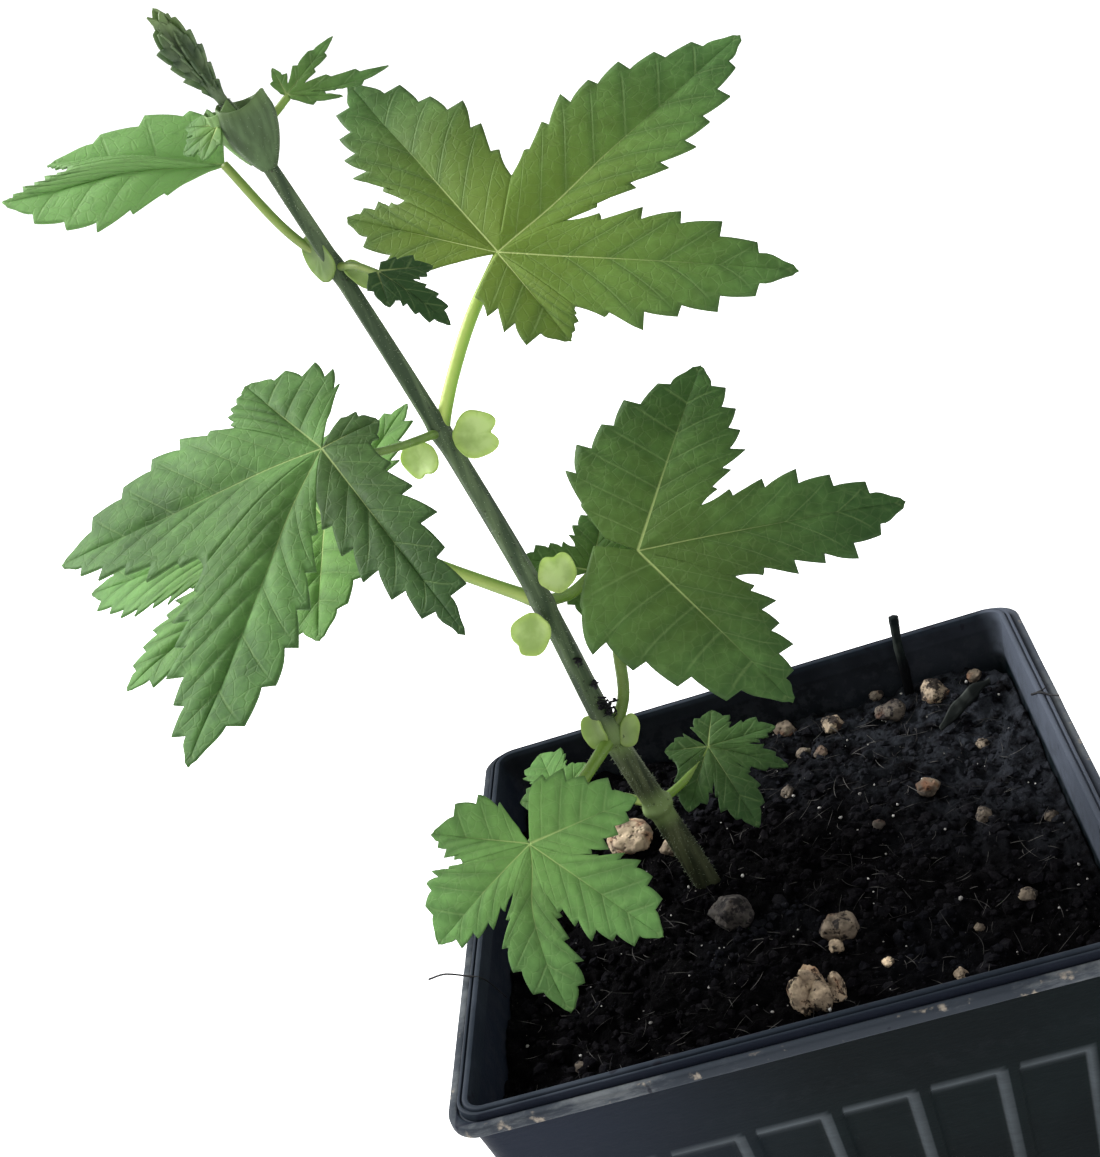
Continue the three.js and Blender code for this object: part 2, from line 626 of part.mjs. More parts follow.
// Everything below the soil's surface, over a square wider than the pot.
function underSoil() {
  const half = pot.rimHalf;
  const cells = 16;
  const skin = new Skin();
  const at = (i, j, z) => {
    const x = half * (2 * i / cells - 1);
    const y = half * (2 * j / cells - 1);
    return skin.point(new THREE.Vector3(x, y, z ?? soilHeight(x, y)));
  };
  for (let i = 0; i < cells; i += 1) {
    for (let j = 0; j < cells; j += 1) {
      skin.quad(at(i, j), at(i + 1, j), at(i + 1, j + 1), at(i, j + 1));
      skin.quad(at(i, j, -1), at(i, j + 1, -1), at(i + 1, j + 1, -1), at(i + 1, j, -1));
    }
    skin.quad(at(i, 0, -1), at(i + 1, 0, -1), at(i + 1, 0), at(i, 0));
    skin.quad(at(i + 1, cells, -1), at(i, cells, -1), at(i, cells), at(i + 1, cells));
    skin.quad(at(0, i + 1, -1), at(0, i, -1), at(0, i), at(0, i + 1));
    skin.quad(at(cells, i, -1), at(cells, i + 1, -1), at(cells, i + 1), at(cells, i));
  }
  return skin.solid();
}

function soilSolid(stones, plants) {
  const inset = pot.wall + gap;
  const low = pot.floor + gap;
  const fill = ringStack([
    squareRing(wallHalf(pot.floor) - inset, pot.cornerFoot - inset, low),
    squareRing(pot.mouthHalf - gap, pot.cornerTop - inset, skirtZ),
  ]);
  return [...stones, ...plants].reduce((all, piece) => all.subtract(piece),
    fill.intersect(underSoil()));
}

// ---------------------------------------------------------------- assembly

const budSolid = tipBud.shoots
  .map(([knots, radii]) => stalk(knots.map(vec), radii, 8, 8))
  .reduce((all, shoot) => all.add(shoot));
const twigSolid = (grow) => stalk([vec(twig.foot), vec(twig.head)], twig.radii, 6, 4, grow);

const stalksClear = leaves
  .map((leaf) => petioleSolid(leaf, gap))
  .reduce((all, piece) => all.add(piece), stemClear);
const stonesClear = stones.map((stone, index) => stoneSolid(stone, index, gap));

addPiece('pot', buildPot(), 0x23282e, 0.55);
addPiece('soil', soilSolid(stonesClear, [stemClear, twigSolid(gap)]), 0x17120e, 0.95);
stones.forEach((stone, index) => {
  const number = String(index + 1).padStart(2, '0');
  addPiece(`stone_${number}`, stoneSolid(stone, index, 0), 0xb39a7c, 0.85);
});
addPiece('rim_twig', twigSolid(0), 0x1b1714, 0.9);
addPiece('stem', stemSolid, 0x5d6b3c, 0.6);
leaves.forEach((leaf) => {
  addPiece(`petiole_${leaf.name}`, petioleSolid(leaf, 0).subtract(stemClear), 0x9bc24a, 0.5);
  addPiece(`blade_${leaf.name}`, bladeSolid(leaf).subtract(stalksClear), 0x55813a, 0.6);
});
scales.forEach((scale) => {
  const shape = scaleShape(scale);
  addPiece(`scale_${shape.name}`, bladeSolid(shape).subtract(stalksClear), 0xb7cd7d, 0.6);
});
addPiece('tip_bud', budSolid, 0x4d6b35, 0.6);

export default group;
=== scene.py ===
import bpy
import math
import numpy as np
from mathutils import Matrix


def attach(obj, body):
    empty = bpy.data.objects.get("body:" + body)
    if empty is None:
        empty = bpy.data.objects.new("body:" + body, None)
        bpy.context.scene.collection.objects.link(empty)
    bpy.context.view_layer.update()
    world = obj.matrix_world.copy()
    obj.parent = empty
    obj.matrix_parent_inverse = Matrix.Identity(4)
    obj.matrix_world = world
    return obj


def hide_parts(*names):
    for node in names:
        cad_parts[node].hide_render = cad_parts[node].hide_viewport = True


# A young hop plant in a square nursery pot, dressed round the frame of its solids.
# Lengths in this file are in millimetres; addPiece turns them into metres.

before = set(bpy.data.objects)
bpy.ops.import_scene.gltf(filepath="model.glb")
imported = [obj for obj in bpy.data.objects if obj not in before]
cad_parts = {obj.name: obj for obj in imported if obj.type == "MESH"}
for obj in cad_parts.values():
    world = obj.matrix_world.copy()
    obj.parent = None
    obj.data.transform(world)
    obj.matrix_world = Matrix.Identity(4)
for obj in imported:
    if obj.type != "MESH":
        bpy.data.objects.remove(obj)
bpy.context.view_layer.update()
millimetre = 0.001


def unit(v):  # each vector divided by its own length
    return v / np.maximum(np.linalg.norm(v, axis=-1, keepdims=True), 1e-12)


def lerp(a, b, t):  # a + (b - a) t
    return a + (b - a) * t


def smooth(edge, t):  # 3x^2 - 2x^3 for x = t / edge held between 0 and 1
    x = np.clip(t / edge, 0, 1)
    return x * x * (3 - 2 * x)


def noise(points, size, seed):
    # random numbers at the corners of cubes of that size, blended across each cube; -1 to 1
    place = points / size
    low = np.floor(place)
    part = place - low
    part = part * part * (3 - 2 * part)
    total = 0
    for corner in np.ndindex(2, 2, 2):
        wave = np.sin((low + corner) @ np.array([127.1, 311.7, 74.7]) + seed * 17.17) * 43758.5453
        weight = np.prod(np.where(corner, part, 1 - part), axis=-1)
        total = total + weight * (wave - np.floor(wave))
    return total * 2 - 1


def fractal(points, size, seed, octaves=3):  # noise at halving sizes, each half as strong
    return sum(noise(points, size / 2**k, seed + k) / 2**k for k in range(octaves))


def gridFaces(rows, cols, loop=False):
    # the quads between neighbours of a grid kept row by row; loop joins last column to first
    r, c = np.meshgrid(np.arange(rows - 1), np.arange(cols if loop else cols - 1), indexing="ij")
    here, beside = r * cols + c, r * cols + (c + 1) % cols
    return np.stack([here, beside, beside + cols, here + cols], -1).reshape(-1, 4)


def triangles(quads):  # each quad as two triangles, without those that have a doubled corner
    both = np.concatenate([quads[:, [0, 1, 2]], quads[:, [0, 2, 3]]])
    a, b, c = both.T
    return both[(a != b) & (b != c) & (c != a)]


def weld(points, quads, step=1e-3):
    # corners that round to the same step become one; also gives which corner each one was
    key = np.round(points / step).astype(np.int64)
    _, first, where = np.unique(key, axis=0, return_index=True, return_inverse=True)
    return points[first], triangles(where.ravel()[quads]), first


def cornerNormals(points, tris):  # the mean of the faces round each corner, weighted by area
    a, b, c = (points[tris[:, k]] for k in range(3))
    across = np.cross(b - a, c - a)
    total = np.zeros_like(points)
    for k in range(3):
        np.add.at(total, tris[:, k], across)
    return unit(total)


def addMark(mesh, key, values):  # a named vector at each corner
    mark = mesh.attributes.new(key, "FLOAT_VECTOR", "POINT")
    mark.data.foreach_set("vector", values.astype(np.float32).ravel())


def addPiece(name, points, tris, material, nodes=(), marks=None, sharp=None):
    # puts the arrays into a mesh, with marks as named vectors at its corners
    mesh = bpy.data.meshes.new(name)
    mesh.vertices.add(len(points))
    mesh.vertices.foreach_set("co", (points * millimetre).astype(np.float32).ravel())
    mesh.loops.add(tris.size)
    mesh.loops.foreach_set("vertex_index", tris.astype(np.int32).ravel())
    mesh.polygons.add(len(tris))
    mesh.polygons.foreach_set("loop_start", np.arange(len(tris), dtype=np.int32) * 3)
    mesh.update(calc_edges=True)
    mesh.validate()
    mesh.shade_smooth()
    if sharp is not None:
        mesh.set_sharp_from_angle(angle=math.radians(sharp))
    for key, values in (marks or {}).items():
        addMark(mesh, key, values)
    mesh.materials.append(material)
    piece = bpy.data.objects.new(name, mesh)
    bpy.context.scene.collection.objects.link(piece)
    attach(piece, "root")
    if nodes:
        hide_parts(*nodes)
    return piece


def joined(parts):  # several (points, triangles) as one pair
    counts = np.cumsum([0] + [len(points) for points, _ in parts])
    return (np.concatenate([points for points, _ in parts]),
            np.concatenate([tris + start for (_, tris), start in zip(parts, counts)]))


def curvePoints(knots, t):
    # a smooth curve through the knots, its speed set by the square root of their distances
    k = np.asarray(knots, float)
    k = np.vstack([2 * k[0] - k[1], k, 2 * k[-1] - k[-2]])
    place = np.clip(t, 0, 1) * (len(k) - 3)
    i = np.minimum(place.astype(int), len(k) - 4)
    w = (place - i)[:, None]
    p0, p1, p2, p3 = (k[i + step] for step in range(4))
    d0, d1, d2 = (np.linalg.norm(b - a, axis=1, keepdims=True) ** 0.5
                  for a, b in ((p0, p1), (p1, p2), (p2, p3)))
    start = ((p1 - p0) / d0 - (p2 - p0) / (d0 + d1) + (p2 - p1) / d1) * d1
    end = ((p2 - p1) / d1 - (p3 - p1) / (d1 + d2) + (p3 - p2) / d2) * d1
    return (p1 + start * w + (3 * p2 - 3 * p1 - 2 * start - end) * w**2
            + (2 * p1 - 2 * p2 + start + end) * w**3)


def tube(knots, radii, sides, steps, shape=None):
    # circles of blended radius across a smooth curve, ends closed at their middles;
    # shape(t, turn) multiplies the radius
    t = np.linspace(0, 1, steps + 1)
    centre = curvePoints(knots, t)
    along = unit(np.gradient(centre, axis=0))
    radius = np.interp(t, np.linspace(0, 1, len(radii)), radii)[:, None]
    guide = np.eye(3)[np.argmin(np.abs(along).max(axis=0))]
    first = unit(np.cross(guide, along))
    second = np.cross(along, first)
    turn = np.linspace(0, 2 * np.pi, sides, endpoint=False)[None, :]
    out = (np.cos(turn)[..., None] * first[:, None] + np.sin(turn)[..., None] * second[:, None])
    if shape is not None:
        radius = radius * shape(t[:, None], turn)
    rings = centre[:, None] + out * (radius * np.ones_like(turn))[..., None]
    ends = [np.repeat(centre[None, [i]], sides, axis=1) for i in (0, -1)]
    points = np.concatenate([ends[0], rings, ends[1]]).reshape(-1, 3)
    welded, tris, _ = weld(points, gridFaces(steps + 3, sides, loop=True))
    return welded, tris, rings, out


class Link:
    # an output of a node; sums, differences, products, quotients and abs() of it add Math nodes
    def __init__(self, finish, socket):
        self.finish = finish
        self.socket = socket

    def calc(self, operation, *values):  # one Math node
        return self.finish.node("Math", {"operation": operation}, *values)

    def __add__(self, other):
        return self.calc("ADD", self, other)

    def __radd__(self, other):
        return self.calc("ADD", other, self)

    def __sub__(self, other):
        return self.calc("SUBTRACT", self, other)

    def __rsub__(self, other):
        return self.calc("SUBTRACT", other, self)

    def __mul__(self, other):
        return self.calc("MULTIPLY", self, other)

    def __rmul__(self, other):
        return self.calc("MULTIPLY", other, self)

    def __truediv__(self, other):
        return self.calc("DIVIDE", self, other)

    def __abs__(self):
        return self.calc("ABSOLUTE", self)

    def larger(self, other):  # the larger of the two
        return self.calc("MAXIMUM", self, other)

    def step(self, low, high):  # 0 at low, 1 at high, smooth between
        return self.finish.node("MapRange", {"interpolation_type": "SMOOTHSTEP"},
                                self, low, high, 0.0, 1.0)


class Finish:
    # one material: its nodes are made through node(), and surface() sets the shader
    def __init__(self, name):
        self.material = bpy.data.materials.new(name)
        self.material.use_nodes = True
        self.tree = self.material.node_tree
        self.tree.nodes.clear()
        self.end = self.tree.nodes.new("ShaderNodeOutputMaterial")

    def node(self, kind, settings=None, *values, output=0, **named):
        # settings first, then values by place and by name (_ for a space); gives one output
        made = self.tree.nodes.new("ShaderNode" + kind)
        for key, value in (settings or {}).items():
            setattr(made, key, value)
        for socket, value in zip(made.inputs, values):
            self.feed(socket, value)
        for key, value in named.items():
            self.feed(made.inputs[key.replace("_", " ")], value)
        return Link(self, made.outputs[output])

    def feed(self, socket, value):  # None leaves the socket as it is
        if isinstance(value, Link):
            self.tree.links.new(value.socket, socket)
        elif value is not None:
            socket.default_value = (*value, 1.0) if socket.type == "RGBA" else value

    def mix(self, amount, a, b):  # a colour between a and b
        otherKinds = [None] * 5  # the Mix node's sockets for numbers and vectors
        return self.node("Mix", {"data_type": "RGBA"}, amount, *otherKinds, a, b, output=2)

    def layers(self, colour, *coats):  # tints laid over a colour in turn, each by its amount
        for amount, tint in coats:
            colour = self.mix(amount, colour, tint)
        return colour

    def place(self):  # the object's own coordinates, in metres
        return self.node("TexCoord", output=3)

    def grain(self, scale, detail=3.0, rough=0.55, where=None):  # soft random spots
        return self.node("TexNoise", None, Vector=where or self.place(), Scale=scale,
                         Detail=detail, Roughness=rough)

    def streaks(self, scales, detail=4.0, rough=0.5):  # grain drawn out along one axis
        stretched = self.node("Mapping", None, self.place(), Scale=scales)
        return self.grain(1.0, detail, rough, stretched)

    def cells(self, scale, feature="F1"):  # distance to scattered points, or to their borders
        return self.node("TexVoronoi", {"feature": feature}, Vector=self.place(), Scale=scale)

    def parts(self, vector):  # the three numbers of a vector
        return [self.node("SeparateXYZ", None, vector, output=k) for k in range(3)]

    def marks(self, key):  # the three numbers kept at each corner under that name
        return self.parts(self.node("Attribute", {"attribute_name": key}, output=1))

    def bump(self, height, strength, distance):  # the normal of a surface with that height
        return self.node("Bump", None, Strength=strength, Distance=distance, Height=height)

    def principled(self, colour, roughness, normal=None, **constants):  # the skin itself
        return self.node("BsdfPrincipled", None, Base_Color=colour, Roughness=roughness,
                         Normal=normal, **constants)

    def tissue(self, share, skin, tint):  # a share of the light passes through, tinted
        glow = self.node("BsdfTranslucent", None, Color=tint)
        return self.node("MixShader", None, share, skin, glow)

    def surface(self, shader):  # ends the material
        self.tree.links.new(shader.socket, self.end.inputs["Surface"])
        return self.material


view = {
    "at": (21.57, -208.46, 230.67),
    "right": (0.9415, 0.0238, -0.3363),
    "down": (-0.2956, -0.4211, -0.8575),
    "ahead": (-0.1620, 0.9067, -0.3894),
    "lens": 54.24, "sensor": 36, "near": 0.01,
}


def addCamera():  # its axes are the view's right, the opposite of down, and the opposite of ahead
    data = bpy.data.cameras.new("camera")
    data.lens = view["lens"]
    data.sensor_width = view["sensor"]
    data.clip_start = view["near"]
    camera = bpy.data.objects.new("camera", data)
    axes = [view["right"], [-n for n in view["down"]], [-n for n in view["ahead"]]]
    turn = Matrix(axes).transposed().to_4x4()
    camera.matrix_world = Matrix.Translation([n * millimetre for n in view["at"]]) @ turn
    bpy.context.scene.collection.objects.link(camera)
    bpy.context.scene.camera = camera


studio = {
    "sky": 0.5,
    "floorTint": (0.8, 0.8, 0.8), "floorRoughness": 0.7, "floorGlow": 0.66,
    "reach": 8, "rise": 3,  # the floor's half-width, and the low pale screen round its edges
    "target": (-0.01, 0, 0.12),
    "lamps": [  # place in metres, size, watts
        ((-0.9, 0.45, 0.9), 0.6, 34),
        ((0.2, -0.9, 1.3), 1.2, 4),
    ],
}


def addStudio():
    # an even pale sky, two soft lamps that face the target, and a pale floor with low screens
    world = bpy.data.worlds.new("studio")
    world.use_nodes = True
    glow = world.node_tree.nodes["Background"]
    glow.inputs["Color"].default_value = (1, 1, 1, 1)
    glow.inputs["Strength"].default_value = studio["sky"]
    bpy.context.scene.world = world
    bpy.context.scene.view_settings.view_transform = "Standard"
    for index, (place, size, watts) in enumerate(studio["lamps"]):
        data = bpy.data.lights.new(f"lamp{index}", "AREA")
        data.size = size
        data.energy = watts
        lamp = bpy.data.objects.new(f"lamp{index}", data)
        back = unit(np.array(place) - np.array(studio["target"]))
        side = unit(np.cross([0, 0, 1], back))
        axes = Matrix([side, np.cross(back, side), back]).transposed().to_4x4()
        lamp.matrix_world = Matrix.Translation(place) @ axes
        bpy.context.scene.collection.objects.link(lamp)
    finish = Finish("floor_finish")
    pale = finish.principled(studio["floorTint"], studio["floorRoughness"],
                             Emission_Color=(1, 1, 1), Emission_Strength=studio["floorGlow"])
    floor = bpy.data.meshes.new("floor")
    reach = studio["reach"]
    ring = [(-reach, -reach), (reach, -reach), (reach, reach), (-reach, reach)]
    screens = [(k, k + 4, (k + 1) % 4 + 4, (k + 1) % 4) for k in range(4)]
    floor.from_pydata([(x, y, z) for z in (0, studio["rise"]) for x, y in ring], [],
                      [(0, 1, 2, 3)] + screens)
    floor.materials.append(finish.surface(pale))
    piece = bpy.data.objects.new("floor", floor)
    bpy.context.scene.collection.objects.link(piece)


addCamera()
addStudio()
print("camera and studio ready")

pot = {
    "height": 95, "lipDrop": 2.6, "footHalf": 32.5, "bandHalf": 43.2, "wall": 1.4, "floor": 1.6,
    "cornerTop": 3.5, "cornerFoot": 5, "insideCornerTop": 2.1, "insideCornerFoot": 3.4,
    "cornerSteps": 12,
    "panelTop": 79.5, "panelFoot": 7, "panelPitch": 11, "panelWidth": 8.8, "panelDepth": 0.6,
    "panelsPerSide": 6, "flank": 0.55,  # width of the slope into a panel
    "drainRadius": 3.5, "drainRing": 19,
    "foot": [(31.8, 0.15), (32.3, 0.6), (32.55, 1.2)],  # half-width and height, rounding upwards
    "lip": [  # half-width and height, over the lip from the wall to the mouth
        (43.1, 91.2), (43.25, 92.1), (43.6, 92.35), (44.7, 92.4), (44.93, 92.52), (45, 92.8),
        (45, 93.5), (44.96, 93.85), (44.8, 93.98), (44.1, 94.02), (43.85, 93.95), (43.72, 93.7),
        (43.6, 93.75), (43.57, 94.5), (43.52, 94.8), (43.35, 94.9), (43.15, 94.85), (43.05, 94.5),
        (42.9, 94.5), (42.83, 94.9), (42.7, 95), (42.3, 95), (42.1, 94.93), (42.0, 94.6), (42, 93),
    ],
    "lipWear": (0.05, 0.015),  # depth of the wear along the lip, coarse and fine
    "look": {
        "wall": (0.0008, 0.0028, 0.0037), "wallPale": (0.0024, 0.0055, 0.0064),
        # next line: painted light on the left of the wall, then the painted highlight along the
        # panel edges
        "wallLitLeft": (0.012, 0.016, 0.026), "edgeHighlightTint": (0.070, 0.082, 0.092),
        "lip": (0.014, 0.019, 0.027), "lipPale": (0.028, 0.035, 0.047),
        "rightLipLightTint": (0.074, 0.085, 0.110),  # painted light on the mouth's right side, whose inner wall and rim face the lamp
        # painted shade on the back wall below the rim, paler in blotches to the right where soil
        # is smeared
        "backShadeDark": (0.008, 0.009, 0.012), "backShadePale": (0.022, 0.025, 0.033),
        "ledge": (0.055, 0.062, 0.072), "scuff": (0.14, 0.15, 0.155), "sand": (0.30, 0.26, 0.21),
        "groove": (0.008, 0.010, 0.018), "nick": (0.012, 0.012, 0.018),
        "smear": (0.028, 0.030, 0.037),  # soil on the inner wall
        "roughness": 0.46, "scuffRoughness": 0.35, "gloss": 0.04,
    },
}
skirtZ = pot["height"] - pot["lipDrop"]


def wallHalf(z):  # half-width of the outer wall at a height
    return lerp(pot["footHalf"], pot["bandHalf"], z / skirtZ)


def squareTrack(spots, steps):
    # a closed walk round a rounded square: along each side at the given spots (-1 to 1 of its
    # straight part), then round the corner; gives side number, spot and corner turn
    side, spot, corner = [], [], []
    for quarter in range(4):
        side += [quarter] * (len(spots) + steps - 1)
        spot += list(spots) + [1.0] * (steps - 1)
        corner += [0.0] * len(spots) + list(np.arange(1, steps) / steps * np.pi / 2)
    return np.array(side), np.array(spot), np.array(corner)


def squarePoints(track, half, corner, z, share=None):
    # the walk at a half-width and corner radius; rows of half, corner and z give rows, and the
    # spots inside the corners may be spread over another share of the half-width
    side, spot, turn = track
    half, corner, z = (np.asarray(n, float)[:, None] for n in (half, corner, z))
    flat = half - corner
    inner = flat if share is None else share[:, None] * half
    x = np.where(np.abs(spot) < 1, inner, flat) * spot + corner * np.sin(turn)
    y = -flat - corner * np.cos(turn)
    angle = side * np.pi / 2
    return np.stack([x * np.cos(angle) - y * np.sin(angle), x * np.sin(angle) + y * np.cos(angle),
                     z * np.ones_like(x)], -1)


def panelSpots():
    # five places on the flank of each panel, as shares of the straight part of the wall
    flank = pot["flank"]
    offsets = np.array([-1, -0.05, flank / 2, flank, flank + 0.7])  # from the edge, inwards
    edges = []
    for index in range(pot["panelsPerSide"]):
        middle = (index - (pot["panelsPerSide"] - 1) / 2) * pot["panelPitch"]
        for end in (-1, 1):
            edges += list(middle + end * pot["panelWidth"] / 2 - end * offsets)
    straight = pot["bandHalf"] - pot["cornerTop"]
    spots = np.sort(edges) / wallHalf(pot["panelTop"]) * pot["bandHalf"] / straight
    return np.unique(np.round(np.concatenate([[-1, 1], np.clip(spots, -1, 1)]), 4))


def potRows():
    # half-width, corner radius, height and whether it is wall, row by row: from the middle of
    # the underside, up the outside, over the lip and down inside to the middle of the floor
    top, foot = pot["cornerTop"], pot["cornerFoot"]
    insideTop, insideFoot, floor = pot["insideCornerTop"], pot["insideCornerFoot"], pot["floor"]
    rows = [(0, 0.02, 0, 0)] + [(h, min(h * 0.5, foot), 0, 0) for h in (8, 16, 24, 31)]
    rows += [(h, foot, z, 0) for h, z in pot["foot"]]
    rows += [(wallHalf(z), lerp(foot, top, z / skirtZ), z, 1) for z in np.unique(np.concatenate([
        np.linspace(1.8, 86, 22), pot["panelFoot"] + np.array([-0.6, 0, 0.3, 0.6, 1.3]),
        pot["panelTop"] + np.array([-1.6, -1.0, -0.6, -0.3, 0, 0.5, 1.1])]))]
    rows += [(h, top + (h - pot["bandHalf"]) * (0.55 if h > pot["bandHalf"] else 1.15), z, 0)
             for h, z in pot["lip"]]
    rows += [(wallHalf(z) - pot["wall"] - 0.2, lerp(insideFoot, insideTop, z / 93), z, 0)
             for z in (90, 86, 80, 70, 50, 30, 10, 3)]
    rows += [(30.6, insideFoot, floor + 0.3, 0), (30, insideFoot, floor, 0)]
    rows += [(h, min(h * 0.5, insideFoot), floor, 0) for h in (24, 16, 8)]
    return np.array(rows + [(0, 0.02, floor, 0)])


def fromPanel(x):  # distance from the middle line of the nearest panel, its sign kept
    return ((x / pot["panelPitch"]) % 1 - 0.5) * pot["panelPitch"]


def potShape():
    # rounded squares through the rows; a panel pushes the wall in by its depth times a smooth
    # step across and another up and down, and two noises wear the lip
    rows, track = potRows(), squareTrack(panelSpots(), pot["cornerSteps"])
    half, corner, z, isWall = rows.T
    corner = np.minimum(corner, np.maximum(half, 0.001) * 0.98)
    straight = (pot["bandHalf"] - pot["cornerTop"]) / pot["bandHalf"]
    flat = (half - corner) / np.maximum(half, 0.001)
    points = squarePoints(track, half, corner, z, np.where(isWall, straight, flat))
    side, spot, turn = track
    flank = pot["flank"]
    x = spot * straight * wallHalf(pot["panelTop"]) + 0 * z[:, None]
    within = np.abs(x) < pot["panelsPerSide"] * pot["panelPitch"] / 2
    across = 1 - smooth(flank, np.abs(fromPanel(x)) - pot["panelWidth"] / 2 + flank)
    upDown = 1 - smooth(flank, z - pot["panelTop"] + flank)
    upDown = upDown * smooth(flank, z - pot["panelFoot"]) * isWall
    push = pot["panelDepth"] * across * upDown[:, None] * (turn == 0) * within
    angle = side * np.pi / 2
    points[..., 0] += -push * np.sin(angle)
    points[..., 1] += push * np.cos(angle)
    points = points.reshape(-1, 3)
    coarse, fine = pot["lipWear"]
    wear = fractal(points, 9, 5)[:, None] * coarse + fractal(points, 1.2, 9, 2)[:, None] * fine
    outward = unit(points * np.array([1, 1, 0]) + 1e-9)
    points = points - outward * np.abs(wear) * smooth(1.2, points[:, 2:] - 91.6)
    return weld(points, gridFaces(len(rows), len(turn), loop=True))[:2]


def edgeHighlightShare(points):
    # how strong the painted highlight is: most along the right and upper edges of each panel,
    # where the rib and the band above catch the lamp, falling off over about a millimetre, and
    # only on the outside of the wall
    x, y, z = points.T
    along = np.where(np.abs(y) >= np.abs(x), -np.sign(y) * x, np.sign(x) * y)
    along = along * wallHalf(pot["panelTop"]) / wallHalf(z)
    signed = fromPanel(along)
    edge, above = signed - pot["panelWidth"] / 2, z - pot["panelTop"]
    side = np.where(edge < -0.3, 0, np.clip(1.5 - (edge + 0.3) / 1.3, 0, 1)) * (above < 0.3)
    top = np.clip(1.35 - np.abs(above + 0.1) / 0.8, 0, 1) * (edge < 0.3)
    top = top * (-signed < pot["panelWidth"] / 2 - 0.3)
    outer = (np.maximum(np.abs(x), np.abs(y)) > wallHalf(z) - 0.9) & (z < 91)
    outer = outer & (np.abs(along) < pot["panelsPerSide"] * pot["panelPitch"] / 2 - 0.5)
    return np.maximum(side, top) * outer


def potFinish():
    # dark plastic with a paler left, painted light, and a painted highlight along the panel edges,
    # then the lip with its wear and soil, painted light on the mouth's right side and painted
    # shade on the back wall below the rim
    f, look = Finish("pot_plastic_finish"), pot["look"]
    x, y, z = f.parts(f.place())
    out = abs(x).larger(abs(y)) * 1000  # half-width of the square that the place is on
    blotch, scratch = f.grain(55, 4, 0.6), f.streaks((300, 300, 1400), 5.0, 0.7)
    # painted light: the upper wall turns paler and bluer towards the left, the side the lamp
    # lights
    left = ((0 - x) * 1000).step(-5, 40) * z.step(0.05, 0.09)
    # painted highlight along the right and upper edges of the panels, blotched and streaked
    edgeHighlight = f.marks("edgeHighlight")[0] * (scratch * 0.6 + blotch * 0.8 - 0.1)
    lip = z.step(0.0919, 0.0923)
    lipTint = f.mix(blotch.step(0.4, 0.65), look["lip"], look["lipPale"])
    # painted light on the mouth's right side: its inner wall and rim, which face the lamp,
    # blotched
    rightLipLight = x.step(0.0385, 0.0408) * z.step(0.0873, 0.0889)
    # painted shade on the back wall below the rim, paler in blotches towards the right
    back = y.step(0.040, 0.0415) * (1 - z.step(0.0938, 0.0946)) * (1 - rightLipLight)
    backShadeTint = f.mix(x.step(-0.01, 0.035) * blotch.step(0.35, 0.6), look["backShadeDark"],
                     look["backShadePale"])
    ledge = lip * out.step(43.6, 43.9)
    scuff = (scratch * 0.5 + blotch * 0.8).step(0.6, 0.78) * ledge
    sand = f.grain(330, 4, 0.6).step(0.58, 0.68) * ledge * out.step(44.2, 44.8)
    groove = lip * (1 - abs(out - 43.62).step(0.1, 0.28))
    nick = f.grain(300, 2).step(0.68, 0.72) * lip
    inside = (1 - abs(z - 0.0885).step(0.0, 0.007)) * (1 - out.step(41.8, 42.6))
    smear = inside * f.grain(420, 5, 0.7).step(0.46, 0.6)
    body = f.layers(
        f.mix(blotch.step(0.35, 0.7), look["wall"], look["wallPale"]),
        (left, look["wallLitLeft"]), (edgeHighlight, look["edgeHighlightTint"]), (lip, lipTint),
        (rightLipLight * (0.45 + blotch * 0.8), look["rightLipLightTint"]), (back * 0.8, backShadeTint),
        (ledge * 0.3, look["ledge"]), (scuff * 0.6, look["scuff"]), (sand * 0.8, look["sand"]),
        (groove * (1 - rightLipLight) * 0.75, look["groove"]), (nick * 0.8, look["nick"]),
        (smear * 0.4, look["smear"]))
    rough = look["roughness"] + scuff * look["scuffRoughness"] + blotch * 0.12
    height = f.grain(2600, 2, 0.5) * 0.25 + scratch * 0.6
    return f.surface(f.principled(body, rough, f.bump(height, 0.25, 0.0004),
                                  Specular_IOR_Level=look["gloss"]))


def cutDrains(piece):
    # four round holes through the floor
    for turn in range(4):
        angle = turn * np.pi / 2
        at = np.array([np.cos(angle), np.sin(angle), 0]) * pot["drainRing"]
        points, tris, _, _ = tube([at + [0, 0, -3], at + [0, 0, 0.5], at + [0, 0, 4]],
                                  [pot["drainRadius"]] * 2, 28, 2)
        mesh = bpy.data.meshes.new("drain")
        mesh.from_pydata((points * millimetre).tolist(), [], tris.tolist())
        cutter = bpy.data.objects.new("drain", mesh)
        bpy.context.scene.collection.objects.link(cutter)
        cut = piece.modifiers.new("drain", "BOOLEAN")
        cut.object, cut.operation, cut.solver = cutter, "DIFFERENCE", "EXACT"
        with bpy.context.temp_override(object=piece, active_object=piece):
            bpy.ops.object.modifier_apply(modifier=cut.name)
        bpy.data.objects.remove(cutter)


points, tris = potShape()
potPiece = addPiece("pot_shell", points, tris, potFinish(), ["pot"], sharp=50)
cutDrains(potPiece)
corners = np.zeros(len(potPiece.data.vertices) * 3, np.float32)
potPiece.data.vertices.foreach_get("co", corners)
# the painted highlight along the panel edges, kept at each corner of the pot
edgeHighlight = edgeHighlightShare(corners.reshape(-1, 3) / millimetre)
addMark(potPiece.data, "edgeHighlight", np.stack([edgeHighlight, 0 * edgeHighlight, 0 * edgeHighlight], -1))
print("pot ready", len(tris))

